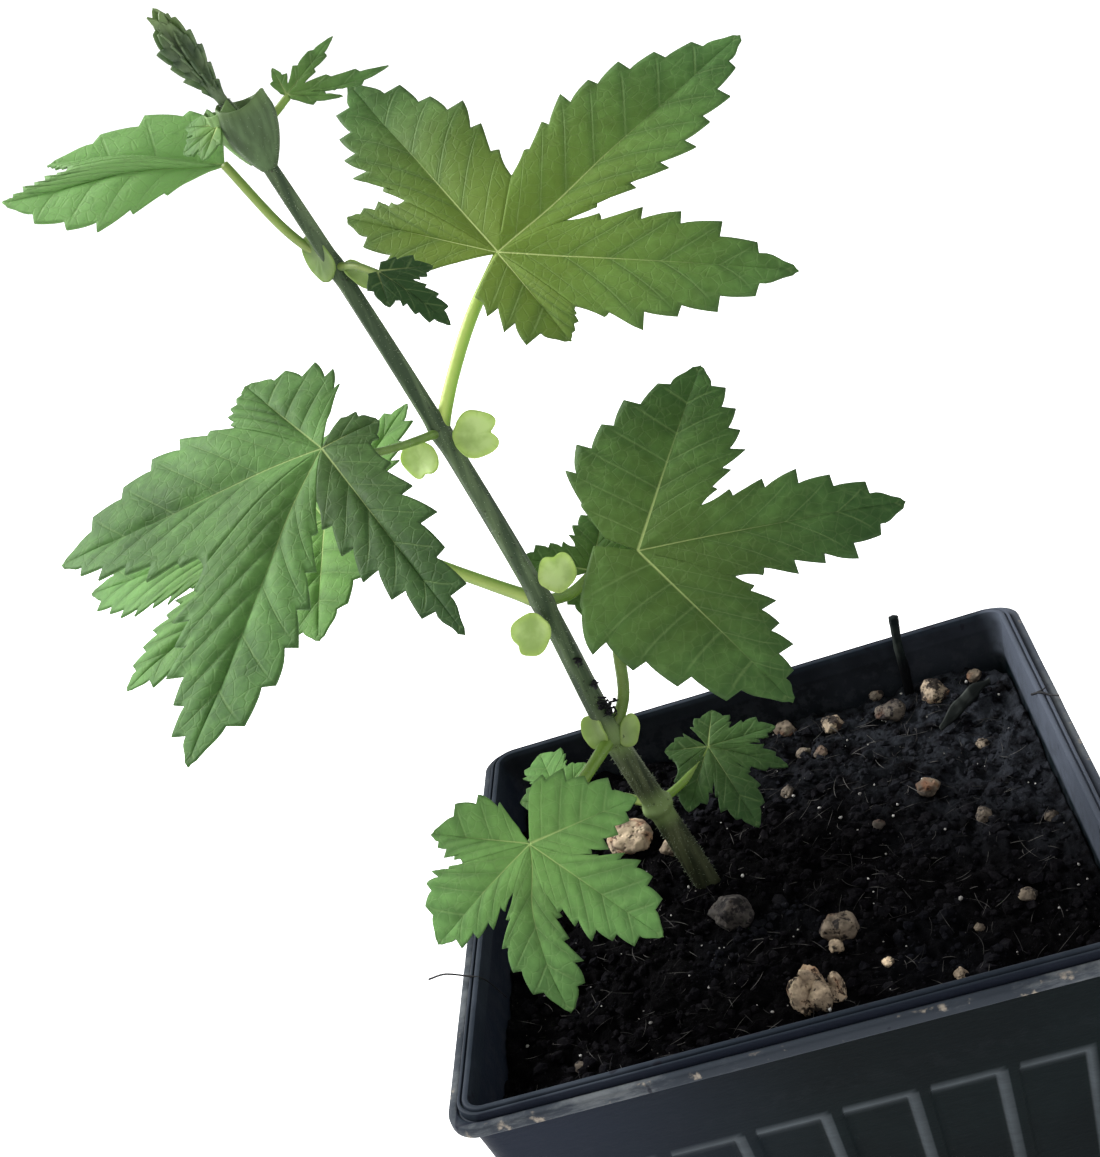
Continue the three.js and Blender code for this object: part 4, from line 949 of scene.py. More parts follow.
leaves = [
    # light: how pale the blade is, partly its own tone and mostly painted light and shade, paler
    # where a leaf is lit and darker where it lies in shade; yellow: how yellow near the petiole,
    # a painted glow of light through the blade; quilt: how much it swells between veins; stalk:
    # how pale the petiole is; shades: painted shade that some lobes, by number, add to light;
    # slim: share of the petiole's radius; at: where petiole and blade meet;
    # normal: of the upper face; toward: the way the middle lobe points; tooth: depth of teeth
    # lobes: turn in degrees, length, droop, right half (width and its place), left half, teeth
    # on each side, bow
    # notches round the lobes: turn and distance
    # petiole: radius, joint of the stem, and the points it passes
    {"name": "a_left", "light": 0.56, "yellow": 0.2, "quilt": 0.15, "stalk": 0.7,
     "shades": {2: -0.15},
     "at": (-28.2, 10.9, 102.4), "normal": (-0.1, -0.4, 0.91),
     "toward": (-0.25, 0.88, 0.4), "tooth": 0.6,
     "lobes": [
         (-62, 6.5, 0, (2.6, 0.4), (2.4, 0.3), 3, 0),
         (0, 9.8, 0.6, (3.2, 0.55), (3.2, 0.55), 4, 0),
         (62, 6.5, 0, (2.4, 0.3), (2.6, 0.4), 3, 0),
     ],
     "notches": [(-140, 1.6), (-30, 4.4), (30, 4.4), (140, 1.6)],
     "petiole": (0.65, "nodeA", [(-20.9, 7.2, 103)])},
    {"name": "a_right", "light": 0.1, "yellow": 0.1, "quilt": 0.3, "stalk": 0.6,
     "at": (-5.4, 14, 101.8), "normal": (0.15, -0.36, 0.92),
     "toward": (0.27, -0.88, -0.39), "tooth": 0.55,
     "lobes": [
         (-111, 6.4, 0, (2.2, 0.4), (1.8, 0.3), 3, 0),
         (-40, 11.3, 0.8, (2.6, 0.5), (2.3, 0.3), 3, 0),
         (2, 15.5, 1.5, (3, 0.4), (2.9, 0.45), 4, 0),
         (47, 12.1, 1, (2, 0.3), (1.7, 0.3), 3, 0),
         (81, 10.4, 0, (1.5, 0.3), (2.4, 0.4), 3, 0),
         (150, 6.9, 0, (2.6, 0.4), (2.4, 0.4), 3, 0),
     ],
     "notches": [(-146, 2.2), (-72, 6), (-17, 6.8), (25, 5), (64, 6), (107, 4.4), (190, 2.2)],
     "petiole": (0.6, "nodeA", [(-9, 9.4, 100.7)])},
    {"name": "b_left", "light": 0.5, "yellow": 0.2, "quilt": 0.4, "stalk": 0.5,
     "shades": {2: -0.12},
     "at": (-28.3, -15.5, 112.4), "normal": (-0.25, -0.71, 0.66),
     "toward": (0.02, -0.68, -0.73), "tooth": 0.9,
     "lobes": [
         (-113, 15.5, 0, (5.2, 0.4), (2.8, 0.1), 4, 0),
         (-65, 19.5, 0.8, (6.7, 0.5), (3.6, 0.4), 5, 0),
         (-3, 22.1, 1.5, (5, 0.4), (4.2, 0.65), 5, -0.08),
         (41, 22.4, 0.8, (4.6, 0.4), (5.6, 0.5), 6, 0),
         (93, 16.4, 0, (4.1, 0.15), (7.4, 0.1), 5, 0),
     ],
     "notches": [(-157, 2.7), (-93, 10.2), (-36, 6.6), (4, 7.5), (59, 7.5), (164, 6.6)],
     "petiole": (0.85, "nodeB", [(-21.3, -7.6, 114)])},
    {"name": "b_right", "light": 0.16, "yellow": 0.3, "quilt": 0.2, "stalk": 0.15,
     "at": (-3.7, 2.1, 140.2), "normal": (0.08, -0.69, 0.71),
     "toward": (0.99, -0.02, -0.12), "tooth": 1.3,
     "lobes": [
         (-55, 28.6, 2, (12.4, 0.26), (6.6, 0.15), 6, 0),
         (2, 35.6, 3, (6, 0.55), (5.6, 0.4), 6, 0),
         (65, 29, 2, (8, 0.42), (11.8, 0.3), 7, 0),
     ],
     "notches": [(-197, 6), (-27, 13.4), (27, 10.3), (148, 4.8)],
     "petiole": (0.85, "nodeB", [(-12.9, 4, 119), (-10.6, 4.9, 128)])},
    {"name": "c_left", "light": 0.55, "yellow": 0.3, "quilt": 0.7, "stalk": 0.5,
     "at": (-44.8, 14.1, 153.7), "normal": (-0.14, -0.3, 0.94),
     "toward": (-0.97, 0.22, -0.07), "tooth": 1.2,
     "lobes": [
         (-116, 22.7, 0, (5, 0.4), (4.5, 0.3), 5, 0),
         (-56, 31, 1, (7, 0.4), (7, 0.4), 6, 0),
         (-3, 43.5, 1.5, (8.5, 0.4), (7.6, 0.5), 8, 0),
         (35, 36, 2, (6.5, 0.3), (7, 0.4), 7, 0),
         (99, 23.6, 1, (6.5, 0.3), (7, 0.4), 5, 0),
     ],
     "notches": [(-150, 4.5), (-88, 12), (-30, 15), (17, 19), (68, 12.5), (145, 4.5)],
     "petiole": (0.85, "nodeC", [(-28.7, 6.8, 143.4), (-38.5, 10.6, 150)])},
    {"name": "c_right", "light": 0.3, "yellow": 0.3, "quilt": 0.5, "stalk": 0.5,
     "at": (-12.5, 15.8, 133.4), "normal": (0.2, -0.5, 0.84),
     "toward": (0.98, 0.02, -0.22), "tooth": 0.7,
     "lobes": [
         (-100, 8, 0, (2.8, 0.4), (2.4, 0.3), 3, 0),
         (-38, 13.5, 0.8, (3.8, 0.4), (3.4, 0.4), 4, 0),
         (20, 17, 1, (4.4, 0.4), (4.2, 0.4), 5, 0),
         (78, 12, 0.6, (3.6, 0.4), (3.6, 0.4), 4, 0),
         (160, 11, 0, (3.2, 0.3), (2.6, 0.4), 4, 0),
     ],
     "notches": [(-140, 2.5), (-68, 6), (-9, 8), (48, 8), (115, 5), (196, 2.5)],
     "petiole": (0.8, "nodeC", [(-15.4, 9.5, 134)])},
    {"name": "d_left", "light": 0.38, "yellow": 0.1, "quilt": 0.6, "stalk": 0.1,
     "shades": {3: -0.28, 4: -0.35}, "slim": 0.6,
     "at": (-33.1, -14.3, 171.9), "normal": (-0.06, -0.37, 0.93),
     "toward": (-0.35, -0.86, -0.37), "tooth": 1.4,
     "lobes": [
         (-128, 19.5, -1, (7.8, 0.35), (5, 0.1), 5, 0),
         (-70, 37.6, 2, (10.6, 0.35), (11, 0.05), 6, 0),
         (-4, 43.1, 3, (7.8, 0.2), (7.2, 0.6), 7, 0),
         (44, 36.2, 4, (4.6, 0.2), (4.2, 0.4), 6, 0),
         (128, 7.6, 0.6, (3, 0.3), (3, 0.3), 2, 0),
     ],
     "notches": [(-172, 6), (-108, 14), (-29, 20), (17, 9.2), (92, 6.6), (170, 5.2)],
     "petiole": (0.9, "nodeD", [(-28.6, -8.4, 167.8)])},
    {"name": "d_right", "light": 0.32, "yellow": 0.9, "quilt": 0.12, "stalk": 1.0,
     "shades": {0: -0.1, 3: -0.12, 4: -0.2},
     "at": (-8.7, 12.4, 181.4), "normal": (0.06, -0.59, 0.81),
     "toward": (0.85, 0.46, 0.27), "tooth": 1.4,
     "lobes": [
         (-100, 17.3, 1, (4.6, 0.45), (2.7, 0.1), 4, 0),
         (-55, 38.8, 2, (8.8, 0.25), (6.2, 0.4), 6, 0),
         (2, 46, 2, (8, 0.45), (10.2, 0.4), 8, 0),
         (80, 42.5, 2, (8.6, 0.4), (6.6, 0.4), 6, 0),
         (111, 24, 1, (3.2, 0.1), (5.4, 0.3), 4, 0),
     ],
     "notches": [(-155, 7.4), (-88, 14.5), (-19, 9.3), (39, 12.3), (97, 17), (146, 5.4)],
     "petiole": (0.85, "nodeD", [(-18.9, 4.2, 169.8), (-14.4, 8.2, 175.6)])},
    {"name": "e_left", "light": 1.15, "yellow": 0.2, "quilt": 0.5, "stalk": 0.35,
     "at": (-36.1, 7.5, 204.4), "normal": (0.25, -0.55, 0.8),
     "toward": (-0.97, -0.16, 0.19), "tooth": 1.0,
     "lobes": [
         (-17, 23.1, 1.5, (8, 0.2), (1.6, 0.05), 4, 0),
         (-5, 28.2, 2.5, (1.6, 0.05), (7.4, 0.5), 6, 0),
     ],
     "notches": [(-95, 6.5), (-11, 19.5), (20, 3.4)],
     "petiole": (0.6, "nodeE", [(-31, 3.4, 194.5)])},
    {"name": "e_right", "light": -0.05, "yellow": 0.0, "quilt": 0.6, "stalk": 0.3,
     "at": (-20.8, -4, 187.7), "normal": (0.35, -0.5, 0.8),
     "toward": (0.61, -0.53, -0.59), "tooth": 0.5,
     "lobes": [
         (-34, 6, 0, (1.5, 0.4), (1.2, 0.3), 2, 0),
         (2, 11.4, 1, (1.7, 0.4), (1.9, 0.4), 4, 0),
         (52, 6.6, 0, (1.7, 0.3), (1.7, 0.4), 3, 0),
     ],
     "notches": [(-115, 1.3), (-20, 4.4), (24, 4.2), (125, 1.6)],
     "petiole": (0.5, "nodeE", [(-23.4, -2, 188.8)])},
    {"name": "f_left", "light": 0.55, "yellow": 0.45, "quilt": 0.4, "stalk": 0.3,
     "at": (-32.6, -1.7, 209.6), "normal": (-0.31, -0.62, 0.72),
     "toward": (-0.94, 0.11, -0.31), "tooth": 0.4,
     "lobes": [
         (-38, 5.4, 0, (1.7, 0.4), (0.9, 0.3), 2, 0),
         (0, 5.6, 0, (1, 0.4), (1.2, 0.4), 2, 0),
         (44, 4.4, 0, (1.1, 0.3), (1.6, 0.4), 2, 0),
     ],
     "notches": [(-120, 0.9), (-18, 3.6), (22, 3.4), (120, 0.9)],
     "petiole": (0.45, "nodeF", [(-31.5, -0.9, 208.3)])},
    {"name": "f_right", "light": 0.34, "yellow": 0.3, "quilt": 0.5, "stalk": 0.4,
     "at": (-24.8, 4.5, 209.6), "normal": (0.2, -0.61, 0.76),
     "toward": (0.98, 0.16, -0.14), "tooth": 0.35,
     "lobes": [
         (-18, 6.8, 0, (0.9, 0.4), (0.3, 0.3), 2, 0),
         (4, 12.7, 0, (0.5, 0.5), (1.6, 0.4), 3, -0.08),
         (48, 10.4, 0, (0.8, 0.4), (1.4, 0.4), 3, 0),
         (103, 4.9, 0, (0.8, 0.4), (0.8, 0.4), 2, 0),
     ],
     "notches": [(-60, 0.9), (-8, 2.8), (25, 2.4), (75, 1.6), (150, 0.9)],
     "petiole": (0.5, "nodeF", [(-27.4, 2.6, 208)])},
]

petiole = {
    "radii": (1.15, 1, 1, 0.95),  # shares of its radius from the stem to the blade
    "highlightFacing": (-0.35, -0.85, 0.4),  # the way the painted highlight, a paler stripe, faces
    "hairsPerMm": 14, "hairLength": 0.35, "hairRadius": 0.018,
}
petioleSkin = petioleFinish()
hairParts = []


def grooved(t, turn):  # a shallow channel along one side, and a thicker foot
    return 1 - 0.10 * np.exp(-((turn - np.pi / 2) / 0.5) ** 2) + 0.2 * np.exp(-(t / 0.07) ** 2)


def leafFrame(leaf):  # rows: ahead, aside and up of a leaf's own plane
    up = unit(np.array(leaf["normal"], float))
    ahead = np.array(leaf["toward"], float)
    ahead = unit(ahead - up * (ahead @ up))
    return np.stack([ahead, np.cross(up, ahead), up])


for leaf in leaves:
    radius, node, via = leaf["petiole"]
    head = np.array(leaf["at"]) - leafFrame(leaf)[2] * radius * 0.55
    knots = [np.array(stem[node])] + [np.array(p) for p in via] + [head]
    radii = radius * leaf.get("slim", 1) * np.array(petiole["radii"])
    points, tris, rings, out = tube(knots, radii, 20, 22 * (len(knots) - 1), grooved)
    # painted highlight: a paler stripe on the side of each petiole that faces one fixed way
    facing = cornerNormals(points, tris) @ unit(np.array(petiole["highlightFacing"]))
    highlightStripe = np.clip(facing, 0, 1) ** 3
    tone = np.stack([np.full(len(points), leaf["stalk"]), highlightStripe, 0 * highlightStripe], -1)
    addPiece(f"stalk_{leaf['name']}", points, tris, petioleSkin, [f"petiole_{leaf['name']}"],
             {"tone": tone})
    count = int(petiole["hairsPerMm"] * np.linalg.norm(knots[-1] - knots[0]))
    hairParts.append(hairCloud(rings, out, count, 60 + len(hairParts), petiole["hairLength"],
                               petiole["hairRadius"], low=0.1))
points, tris = joined(hairParts)
addPiece("petiole_hairs", points, tris, hairs)
print("petioles ready")

blade = {
    "thick": 0.26, "fold": 0.06, "quilt": 0.75, "arch": 0.035,
    "wave": 0.6, "waveSize": 11, "full": 25,  # a shorter blade than full is less wavy and quilted
    "bite": 1.55, "lean": 0.5,  # tooth depth as a share of the table's, and its lean to the tip
    "crown": 0.8, "crowd": 0.7,  # where in its pitch a tooth's tip lies, and most depth over pitch
    "uneven": 0.25, "taper": 0.35,  # how much the teeth vary, and how much they lose to the tip
    "start": 0.28,  # the share of a lobe over which its teeth grow in
    "toothRows": (0, 0.14, 0.28, 0.42, 0.56, 0.70, 0.80, 0.90),
    "across": (0, 0.05, 0.12, 0.21, 0.31, 0.42, 0.54, 0.66, 0.77, 0.87, 0.94, 1),
    "look": {
        "shade": ((0.022, 0.054, 0.016), (0.200, 0.420, 0.120)),
        "yellow": (0.175, 0.255, 0.032),  # near the petiole: painted glow of light through the blade
        "groove": (0.02, 0.055, 0.016),  # beside the side veins
        "young": (0.30, 0.50, 0.20), "youngBlotch": (0.10, 0.19, 0.08),
        "net": (0.27, 0.38, 0.15), "sideVein": (0.26, 0.38, 0.13),
        "rib": (0.50, 0.60, 0.22), "ribAhead": (0.28, 0.38, 0.14),
        "under": (0.18, 0.3, 0.11), "margin": (0.05, 0.08, 0.045),
        "glow": (0.19, 0.42, 0.055), "roughness": 0.6, "gloss": 0.13,
    },
}


def halfWidth(t, notchWidth, width, place):
    # widens as a quarter sine up to its widest place, then narrows to the tip
    rise = notchWidth + (width - notchWidth) * np.sin(np.pi / 2 * np.minimum(t / place, 1))
    rest = np.clip((t - place) / (1 - place), 0, 1)
    return np.where(t < place, rise, width * (1 - rest**1.5))


def toothDepth(leaf, index, side, t, number, part, teeth, room):
    # rises as a power of the way through the tooth up to its crown and falls straight back,
    # each tooth of its own size, growing in from the notch and smaller ahead
    crown = blade["crown"]
    vary = np.sin(number * 2.7 + index * 1.9 + side * 0.8 + leaf["seed"] * 1.3)
    tooth = np.where(part <= crown, np.maximum(part / crown, 0) ** 0.85, (1 - part) / (1 - crown))
    tooth = tooth * (1 + blade["uneven"] * vary)
    last = 1 - 0.65 * smooth(0.6 / teeth, t - (1 - 1.0 / teeth))
    most = min(leaf["tooth"] * blade["bite"], blade["crowd"] * room / teeth)
    return most * (1 - blade["taper"] * t) * tooth * smooth(blade["start"], t) * last


def halfLobe(leaf, index, side):
    # t runs from the notch to the tip and v from the midrib to the margin. The margin is the
    # half-width plus teeth that lean forwards; the sheet rises with v (fold), arches between
    # rib and margin, swells between the side veins, waves, and droops as the square of the
    # distance from the petiole
    turn, length, droop, right, left, teeth, bow = leaf["lobes"][index]
    notchTurn, reach = leaf["notches"][index if side < 0 else index + 1]
    width, place = right if side < 0 else left
    other = index + side
    sag = sharedSag = droop / length**2
    if 0 <= other < len(leaf["lobes"]):
        sharedSag = (sag + leaf["lobes"][other][2] / leaf["lobes"][other][1] ** 2) / 2
    between = math.radians(notchTurn - turn)
    startAlong, startOut = reach * math.cos(between), abs(reach * math.sin(between))
    phase, crown = np.array(blade["toothRows"]), blade["crown"]
    t = np.append(((np.arange(teeth)[:, None] + phase) / teeth).ravel(), 1.0)[:, None]
    v = np.array(blade["across"])[None, :]
    part = np.append(np.tile(phase, teeth), 0.0)[:, None]
    number = np.append(np.repeat(np.arange(teeth), len(phase)), teeth)[:, None]
    bite = toothDepth(leaf, index, side, t, number, part, teeth, length - startAlong)
    rib = length * t * (1 - 0.35 * (1 - t))
    edgeAlong = startAlong + (length - startAlong) * t
    edgeOut = halfWidth(t, startOut, width, place)
    inset = 0.25 * leaf["tooth"] * smooth(blade["start"], t)  # the teeth stand half in, half out
    margin = v**5
    a = np.minimum(lerp(rib, edgeAlong, v) + bite * blade["lean"] * margin, length)
    b = side * (np.maximum(edgeOut - inset, 0) * v + bite * margin)
    b = b + bow * 4 * a * (1 - a / length) * smooth(0.5, t)
    angle = math.radians(turn)
    x = a * math.cos(angle) - b * math.sin(angle)
    y = a * math.sin(angle) + b * math.cos(angle)
    span = np.hypot(edgeAlong - rib, edgeOut)
    drop = lerp(sharedSag, sag, np.maximum(smooth(0.4, t), 1 - v)) * (x * x + y * y)
    vein = (t * teeth - crown) % 1
    small = min(1, leaf["size"] / blade["full"])
    swell = np.abs(np.sin(np.pi * vein)) ** 0.8 * smooth(0.2, v) * (1 - smooth(1, v)) ** 0.5
    swell = swell * np.minimum(span / 9, 1) * blade["quilt"] * leaf["quilt"] * small
    swell = swell * lerp(0.12, 1, smooth(0.6, t))
    flat = np.stack([x, y, 0 * x], -1) + leaf["seed"] * 31.7
    roll = blade["wave"] * small * noise(flat, blade["waveSize"], leaf["seed"])
    z = span * leaf["fold"] * v + blade["arch"] * span * 4 * v * (1 - v) + swell + roll - drop
    points = np.stack([x, y, z], -1)
    pitch = length / teeth * 0.75
    veins = np.stack([t * teeth - crown + 0 * v, span * v, pitch + 0 * (t + v)], -1)
    place = np.stack([t + 0 * v, v + 0 * t, np.hypot(x, y) / leaf["size"]], -1)
    return points, veins, place


def sheet(points, tris, half, leaf, marks):
    # the surface moved half the thickness each way along its normals, with a wall round its
    # open edges, turned from the leaf's own plane; tone's last number tells the underside
    normals = cornerNormals(points, tris)
    if normals[:, 2].mean() < 0:
        tris, normals = tris[:, ::-1], -normals
    count = len(points)
    both = np.concatenate([points + normals * half, points - normals * half])
    edges = np.concatenate([tris[:, [0, 1]], tris[:, [1, 2]], tris[:, [2, 0]]])
    code = edges[:, 0] * count + edges[:, 1]
    back = edges[:, 1] * count + edges[:, 0]
    a, b = edges[~np.isin(code, back)].T
    wall = np.concatenate([np.stack([b, a, a + count], 1), np.stack([b, a + count, b + count], 1)])
    marks = {key: np.tile(value, (2, 1)) for key, value in marks.items()}
    if "tone" in marks:
        marks["tone"][count:, 2] = 1
    world = both @ leafFrame(leaf) + np.array(leaf["at"])
    return world, np.concatenate([tris, tris[:, ::-1] + count, wall]), marks


def bladeShape(leaf):
    # the half lobes welded into one surface and made a sheet
    sheets, quads, veins, places, lights, start = [], [], [], [], [], 0
    for index in range(len(leaf["lobes"])):
        for side in (-1, 1):
            points, vein, place = halfLobe(leaf, index, side)
            rows, cols = points.shape[:2]
            faces = gridFaces(rows, cols) + start
            quads.append(faces if side < 0 else faces[:, ::-1])
            sheets.append(points.reshape(-1, 3))
            veins.append(vein.reshape(-1, 3))
            places.append(place.reshape(-1, 3))
            # painted light and shade: the leaf's light, plus painted shade on some lobes
            lights += [leaf["light"] + leaf.get("shades", {}).get(index, 0)] * (rows * cols)
            start += rows * cols
    points, tris, first = weld(np.concatenate(sheets), np.concatenate(quads))
    vein, place = np.concatenate(veins)[first], np.concatenate(places)[first]
    light = np.array(lights)[first]
    tone = np.stack([light, 0 * light + leaf["yellow"], 0 * light], -1)
    return sheet(points, tris, blade["thick"] / 2, leaf, {"veins": vein, "place": place,
                                                          "tone": tone})


def leafFinish():
    # veins: side vein number, distance from the midrib and from one side vein to the next;
    # place: shares of the way along, across and from the petiole; tone: light, which is painted
    # light and shade, yellow, which is a painted glow near the petiole, and underside
    f, look = Finish("leaf_finish"), blade["look"]
    side, rib, pitch = f.marks("veins")
    along, across, far = f.marks("place")
    light, yellow, under = f.marks("tone")
    sideGap = abs(side - side.calc("ROUND", side)) * pitch
    sideVein = (1 - sideGap.step(0.04, 0.2)) * (1 - across.step(0.7, 1.0)) * 0.6
    ribVein = 1 - (rib / (1.15 - along * 0.8)).step(0.10, 0.34)
    vein = sideVein.larger(ribVein)
    net = 1 - f.cells(620.0, "DISTANCE_TO_EDGE").step(0.0, 0.08)
    cloud, patch, mottle = f.grain(150, 4, 0.6), f.grain(55, 2), f.grain(640, 3, 0.6)
    # painted light and shade: the leaf's light, with cloudy patches that paint shadow from other
    # leaves
    shade = (light + cloud * 0.3 + patch * 0.55 + mottle * 0.4 - 0.62).step(-0.05, 1.0)
    groove = (1 - sideGap.step(0.1, 1.2)) * (1 - under)
    young = light.step(0.8, 1.3)
    green = f.layers(
        f.mix(shade, *look["shade"]),
        # painted glow of light through the blade, strongest near the petiole
        (yellow * (1 - far.step(0.0, 1.0)) * 0.75, look["yellow"]),
        (groove * along.step(0.02, 0.4) * 0.3, look["groove"]),
        (young * 0.75, look["young"]),
        (f.grain(420, 4, 0.65).step(0.56, 0.66) * young * 0.45, look["youngBlotch"]),
        (net * (0.05 + light * 0.1), look["net"]),
        (sideVein * (0.25 + under * 0.35), look["sideVein"]),
        (ribVein * (1 - far.step(0.05, 0.65)) * (0.3 + yellow * 0.6), look["rib"]),
        (ribVein * 0.12, look["ribAhead"]),
        (under * 0.12, look["under"]),
        (across.step(0.93, 1.0) * 0.3, look["margin"]))
    height = (under * 2 - 1) * vein * 0.9 - net * 0.25 + mottle * 0.5 + f.grain(1500, 3) * 0.3
    skin = f.principled(green, look["roughness"] + cloud * 0.15, f.bump(height, 0.45, 0.0003),
                        Specular_IOR_Level=look["gloss"])
    return f.surface(f.tissue(0.12 + light * 0.26 - vein * 0.08, skin, look["glow"]))


leafSkin = leafFinish()
for index, leaf in enumerate(leaves):
    leaf["size"] = max(lobe[1] for lobe in leaf["lobes"])
    leaf["seed"] = index + 1
    leaf.setdefault("fold", blade["fold"])
    points, tris, marks = bladeShape(leaf)
    addPiece(f"leaf_{leaf['name']}", points, tris, leafSkin, [f"blade_{leaf['name']}"],
             marks)
print("blades ready")

scales = {
    "thick": 0.2, "rings": 14, "around": 48,
    "ovals": [  # name, base, facing, direction, length, half-width, turn and depth of notch, dark
        ("b_left", (-17.7, 0.8, 114), (-0.35, -0.9, 0.2), (-0.25, 0, 0.97),
         5, 2.1, 0, 0, 0.25),
        ("b_right", (-14.6, 1.2, 112.8), (0.45, -0.85, 0.25), (0.6, 0.1, 0.8),
         4.8, 1.7, 0, 0, 0.35),
        ("c_upper", (-16.6, 1.1, 138.9), (0.1, -0.9, 0.4), (0.62, 0, 0.78),
         5.5, 2.4, 40, 0.2, 0),
        ("c_lower", (-18.8, 0.5, 136.4), (-0.1, -0.85, 0.5), (-0.66, -0.36, -0.66),
         6, 2.6, -30, 0.2, 0),
        ("d_right", (-20.7, 0.5, 164.2), (0.1, -0.9, 0.4), (0.92, 0, -0.36),
         6.2, 2.9, 12, 0.38, 0),
        ("d_left", (-23.7, 0.1, 163.6), (-0.1, -0.8, 0.6), (-0.85, -0.4, -0.35),
         4.6, 2.7, 60, 0.2, 0),
        ("e_left", (-27.1, -0.9, 188), (-0.5, -0.8, 0.3), (-0.54, -0.15, 0.83),
         6.8, 2.3, 0, 0, 0.65),
        ("e_right", (-25.2, 0, 189.4), (0.4, -0.85, 0.35), (0.62, -0.2, -0.75),
         5, 1.4, 0, 0, 0.5),
    ],
    "cupAround": 64, "cupUp": 26, "cupDown": 8, "nerves": 15,
    "cups": [  # the swollen pair clasping the tip: name, foot, head, greatest radius, how dark
        ("f_right", (-29.2, 0.3, 202.8), (-29.3, -0.1, 211.2), 3.4, 0.93),
        ("f_left", (-30.6, 0.1, 204.0), (-32.2, 0.1, 211.2), 2.0, 0.3),
    ],
    "look": {
        "green": ((0.32, 0.42, 0.15), (0.56, 0.67, 0.31)),
        "edge": (0.50, 0.66, 0.15), "ray": (0.20, 0.31, 0.08), "dark": (0.085, 0.155, 0.055),
        "glow": (0.5, 0.68, 0.2),
        "cup": ((0.20, 0.34, 0.12), (0.055, 0.085, 0.042)),  # the palest and the darkest
        "cupRim": (0.15, 0.24, 0.08), "cupGlow": (0.3, 0.45, 0.15),
    },
}


def scaleShape(index, at, normal, toward, length, half, notch, depth, dark):
    # an oval whose radius dips at the notch and draws in at the base; hollowed by the square of
    # the way across, with a wave along its edge
    rings, around = scales["rings"], scales["around"]
    r = np.linspace(0, 1, rings)[:, None]
    turn = np.linspace(-np.pi, np.pi, around, endpoint=False)[None, :]
    away = np.angle(np.exp(1j * (turn - math.radians(notch))))
    reach = 1 - depth * np.exp(-(away / 0.3) ** 2) - 0.18 * (depth == 0) * np.sin(turn) ** 2
    reach = reach * (1 + 0.03 * np.sin(5 * turn + index)) * np.where(np.abs(turn) > 2.7, 0.97, 1)
    x = length / 2 * (1 + r * reach * np.cos(turn))
    y = half * r * reach * np.sin(turn) * 1.06
    wave = 0.22 * r**3 * np.sin(3 * turn + index * 2)
    z = 0.25 * y * y / half * (1 - 0.4 * r) - 0.05 * x * x / length + wave
    points, tris, first = weld(np.stack([x, y, z], -1).reshape(-1, 3),
                               gridFaces(rings, around, loop=True))
    rays = np.sin(turn * 9) * r
    marks = np.stack([rays, r + 0 * turn, dark + 0 * rays], -1).reshape(-1, 3)[first]
    leaf = {"at": at, "normal": normal, "toward": toward}
    return sheet(points, tris, scales["thick"] / 2, leaf, {"place": marks})


def scaleFinish():
    # place: rays round the oval, share of the way out from its middle, and how dark it is
    f, look = Finish("scale_finish"), scales["look"]
    rays, far, dark = f.marks("place")
    cloud = f.grain(330, 3)
    green = f.layers(f.mix(cloud.step(0.35, 0.65), *look["green"]),
                     (far.step(0.6, 1.0) * 0.6, look["edge"]),
                     (rays.step(0.55, 0.95) * 0.35, look["ray"]), (dark, look["dark"]))
    skin = f.principled(green, 0.55, f.bump(rays * 0.5 + cloud, 0.3, 0.0002))
    return f.surface(f.tissue(0.42, skin, look["glow"]))


def sheathShape(foot, head, radius):
    # a cup on a leaning axis: its radius grows as a power of the height to the rim, then turns
    # in and runs down the hollow; the rim is higher at both sides, and nerves run lengthwise
    foot, head = np.array(foot), np.array(head)
    axis, tall = unit(head - foot), np.linalg.norm(head - foot)
    right = unit(np.cross([0, 1, 0], axis))
    ahead = np.cross(axis, right)
    around, upRows = scales["cupAround"], scales["cupUp"]
    up = np.linspace(0, 1, upRows) ** 1.3
    outside = 0.28 + 0.72 * np.sin(np.pi / 2 * np.minimum(up / 0.8, 1)) ** 0.9
    outside = outside * (1 - 0.10 * smooth(0.25, up - 0.75))
    down = np.linspace(0, 1, scales["cupDown"])[1:]
    height = np.concatenate([[0], up, [1.015], 1 - 0.45 * down, [0.55]])[:, None]
    wide = np.concatenate([[0], outside, [0.86], 0.82 - 0.42 * down**2, [0]])[:, None]
    turn = np.linspace(0, 2 * np.pi, around, endpoint=False)[None, :]
    nerves = 0.02 * np.cos(turn * scales["nerves"] + 3 * height)
    wide = radius * wide * (1 + nerves - 0.1 * np.cos(turn * 2 + 1))
    height = tall * height * (1 + 0.05 * np.cos(turn * 2) * height**2)
    out = np.cos(turn)[..., None] * right + np.sin(turn)[..., None] * ahead + 0 * wide[..., None]
    rings = foot + axis * height[..., None] + out * wide[..., None]
    points, tris, _ = weld(rings.reshape(-1, 3), gridFaces(len(rings), around, loop=True))
    return points, tris, rings[1:upRows], out[1:upRows]


def sheathFinish(name, dark):  # streaked between the two cup tints, greener at the rim
    f, look = Finish(name), scales["look"]
    streak = f.streaks((900, 900, 120))
    tone = lerp(*np.array(look["cup"]), dark)
    green = f.mix(streak.step(0.3, 0.7), tuple(tone * 0.7), tuple(tone * 1.45))
    green = f.mix(f.parts(f.place())[2].step(0.209, 0.2125) * 0.6, green, look["cupRim"])
    skin = f.principled(green, 0.6, f.bump(streak, 0.5, 0.0003), Specular_IOR_Level=0.15)
    return f.surface(f.tissue(0.1, skin, look["cupGlow"]))


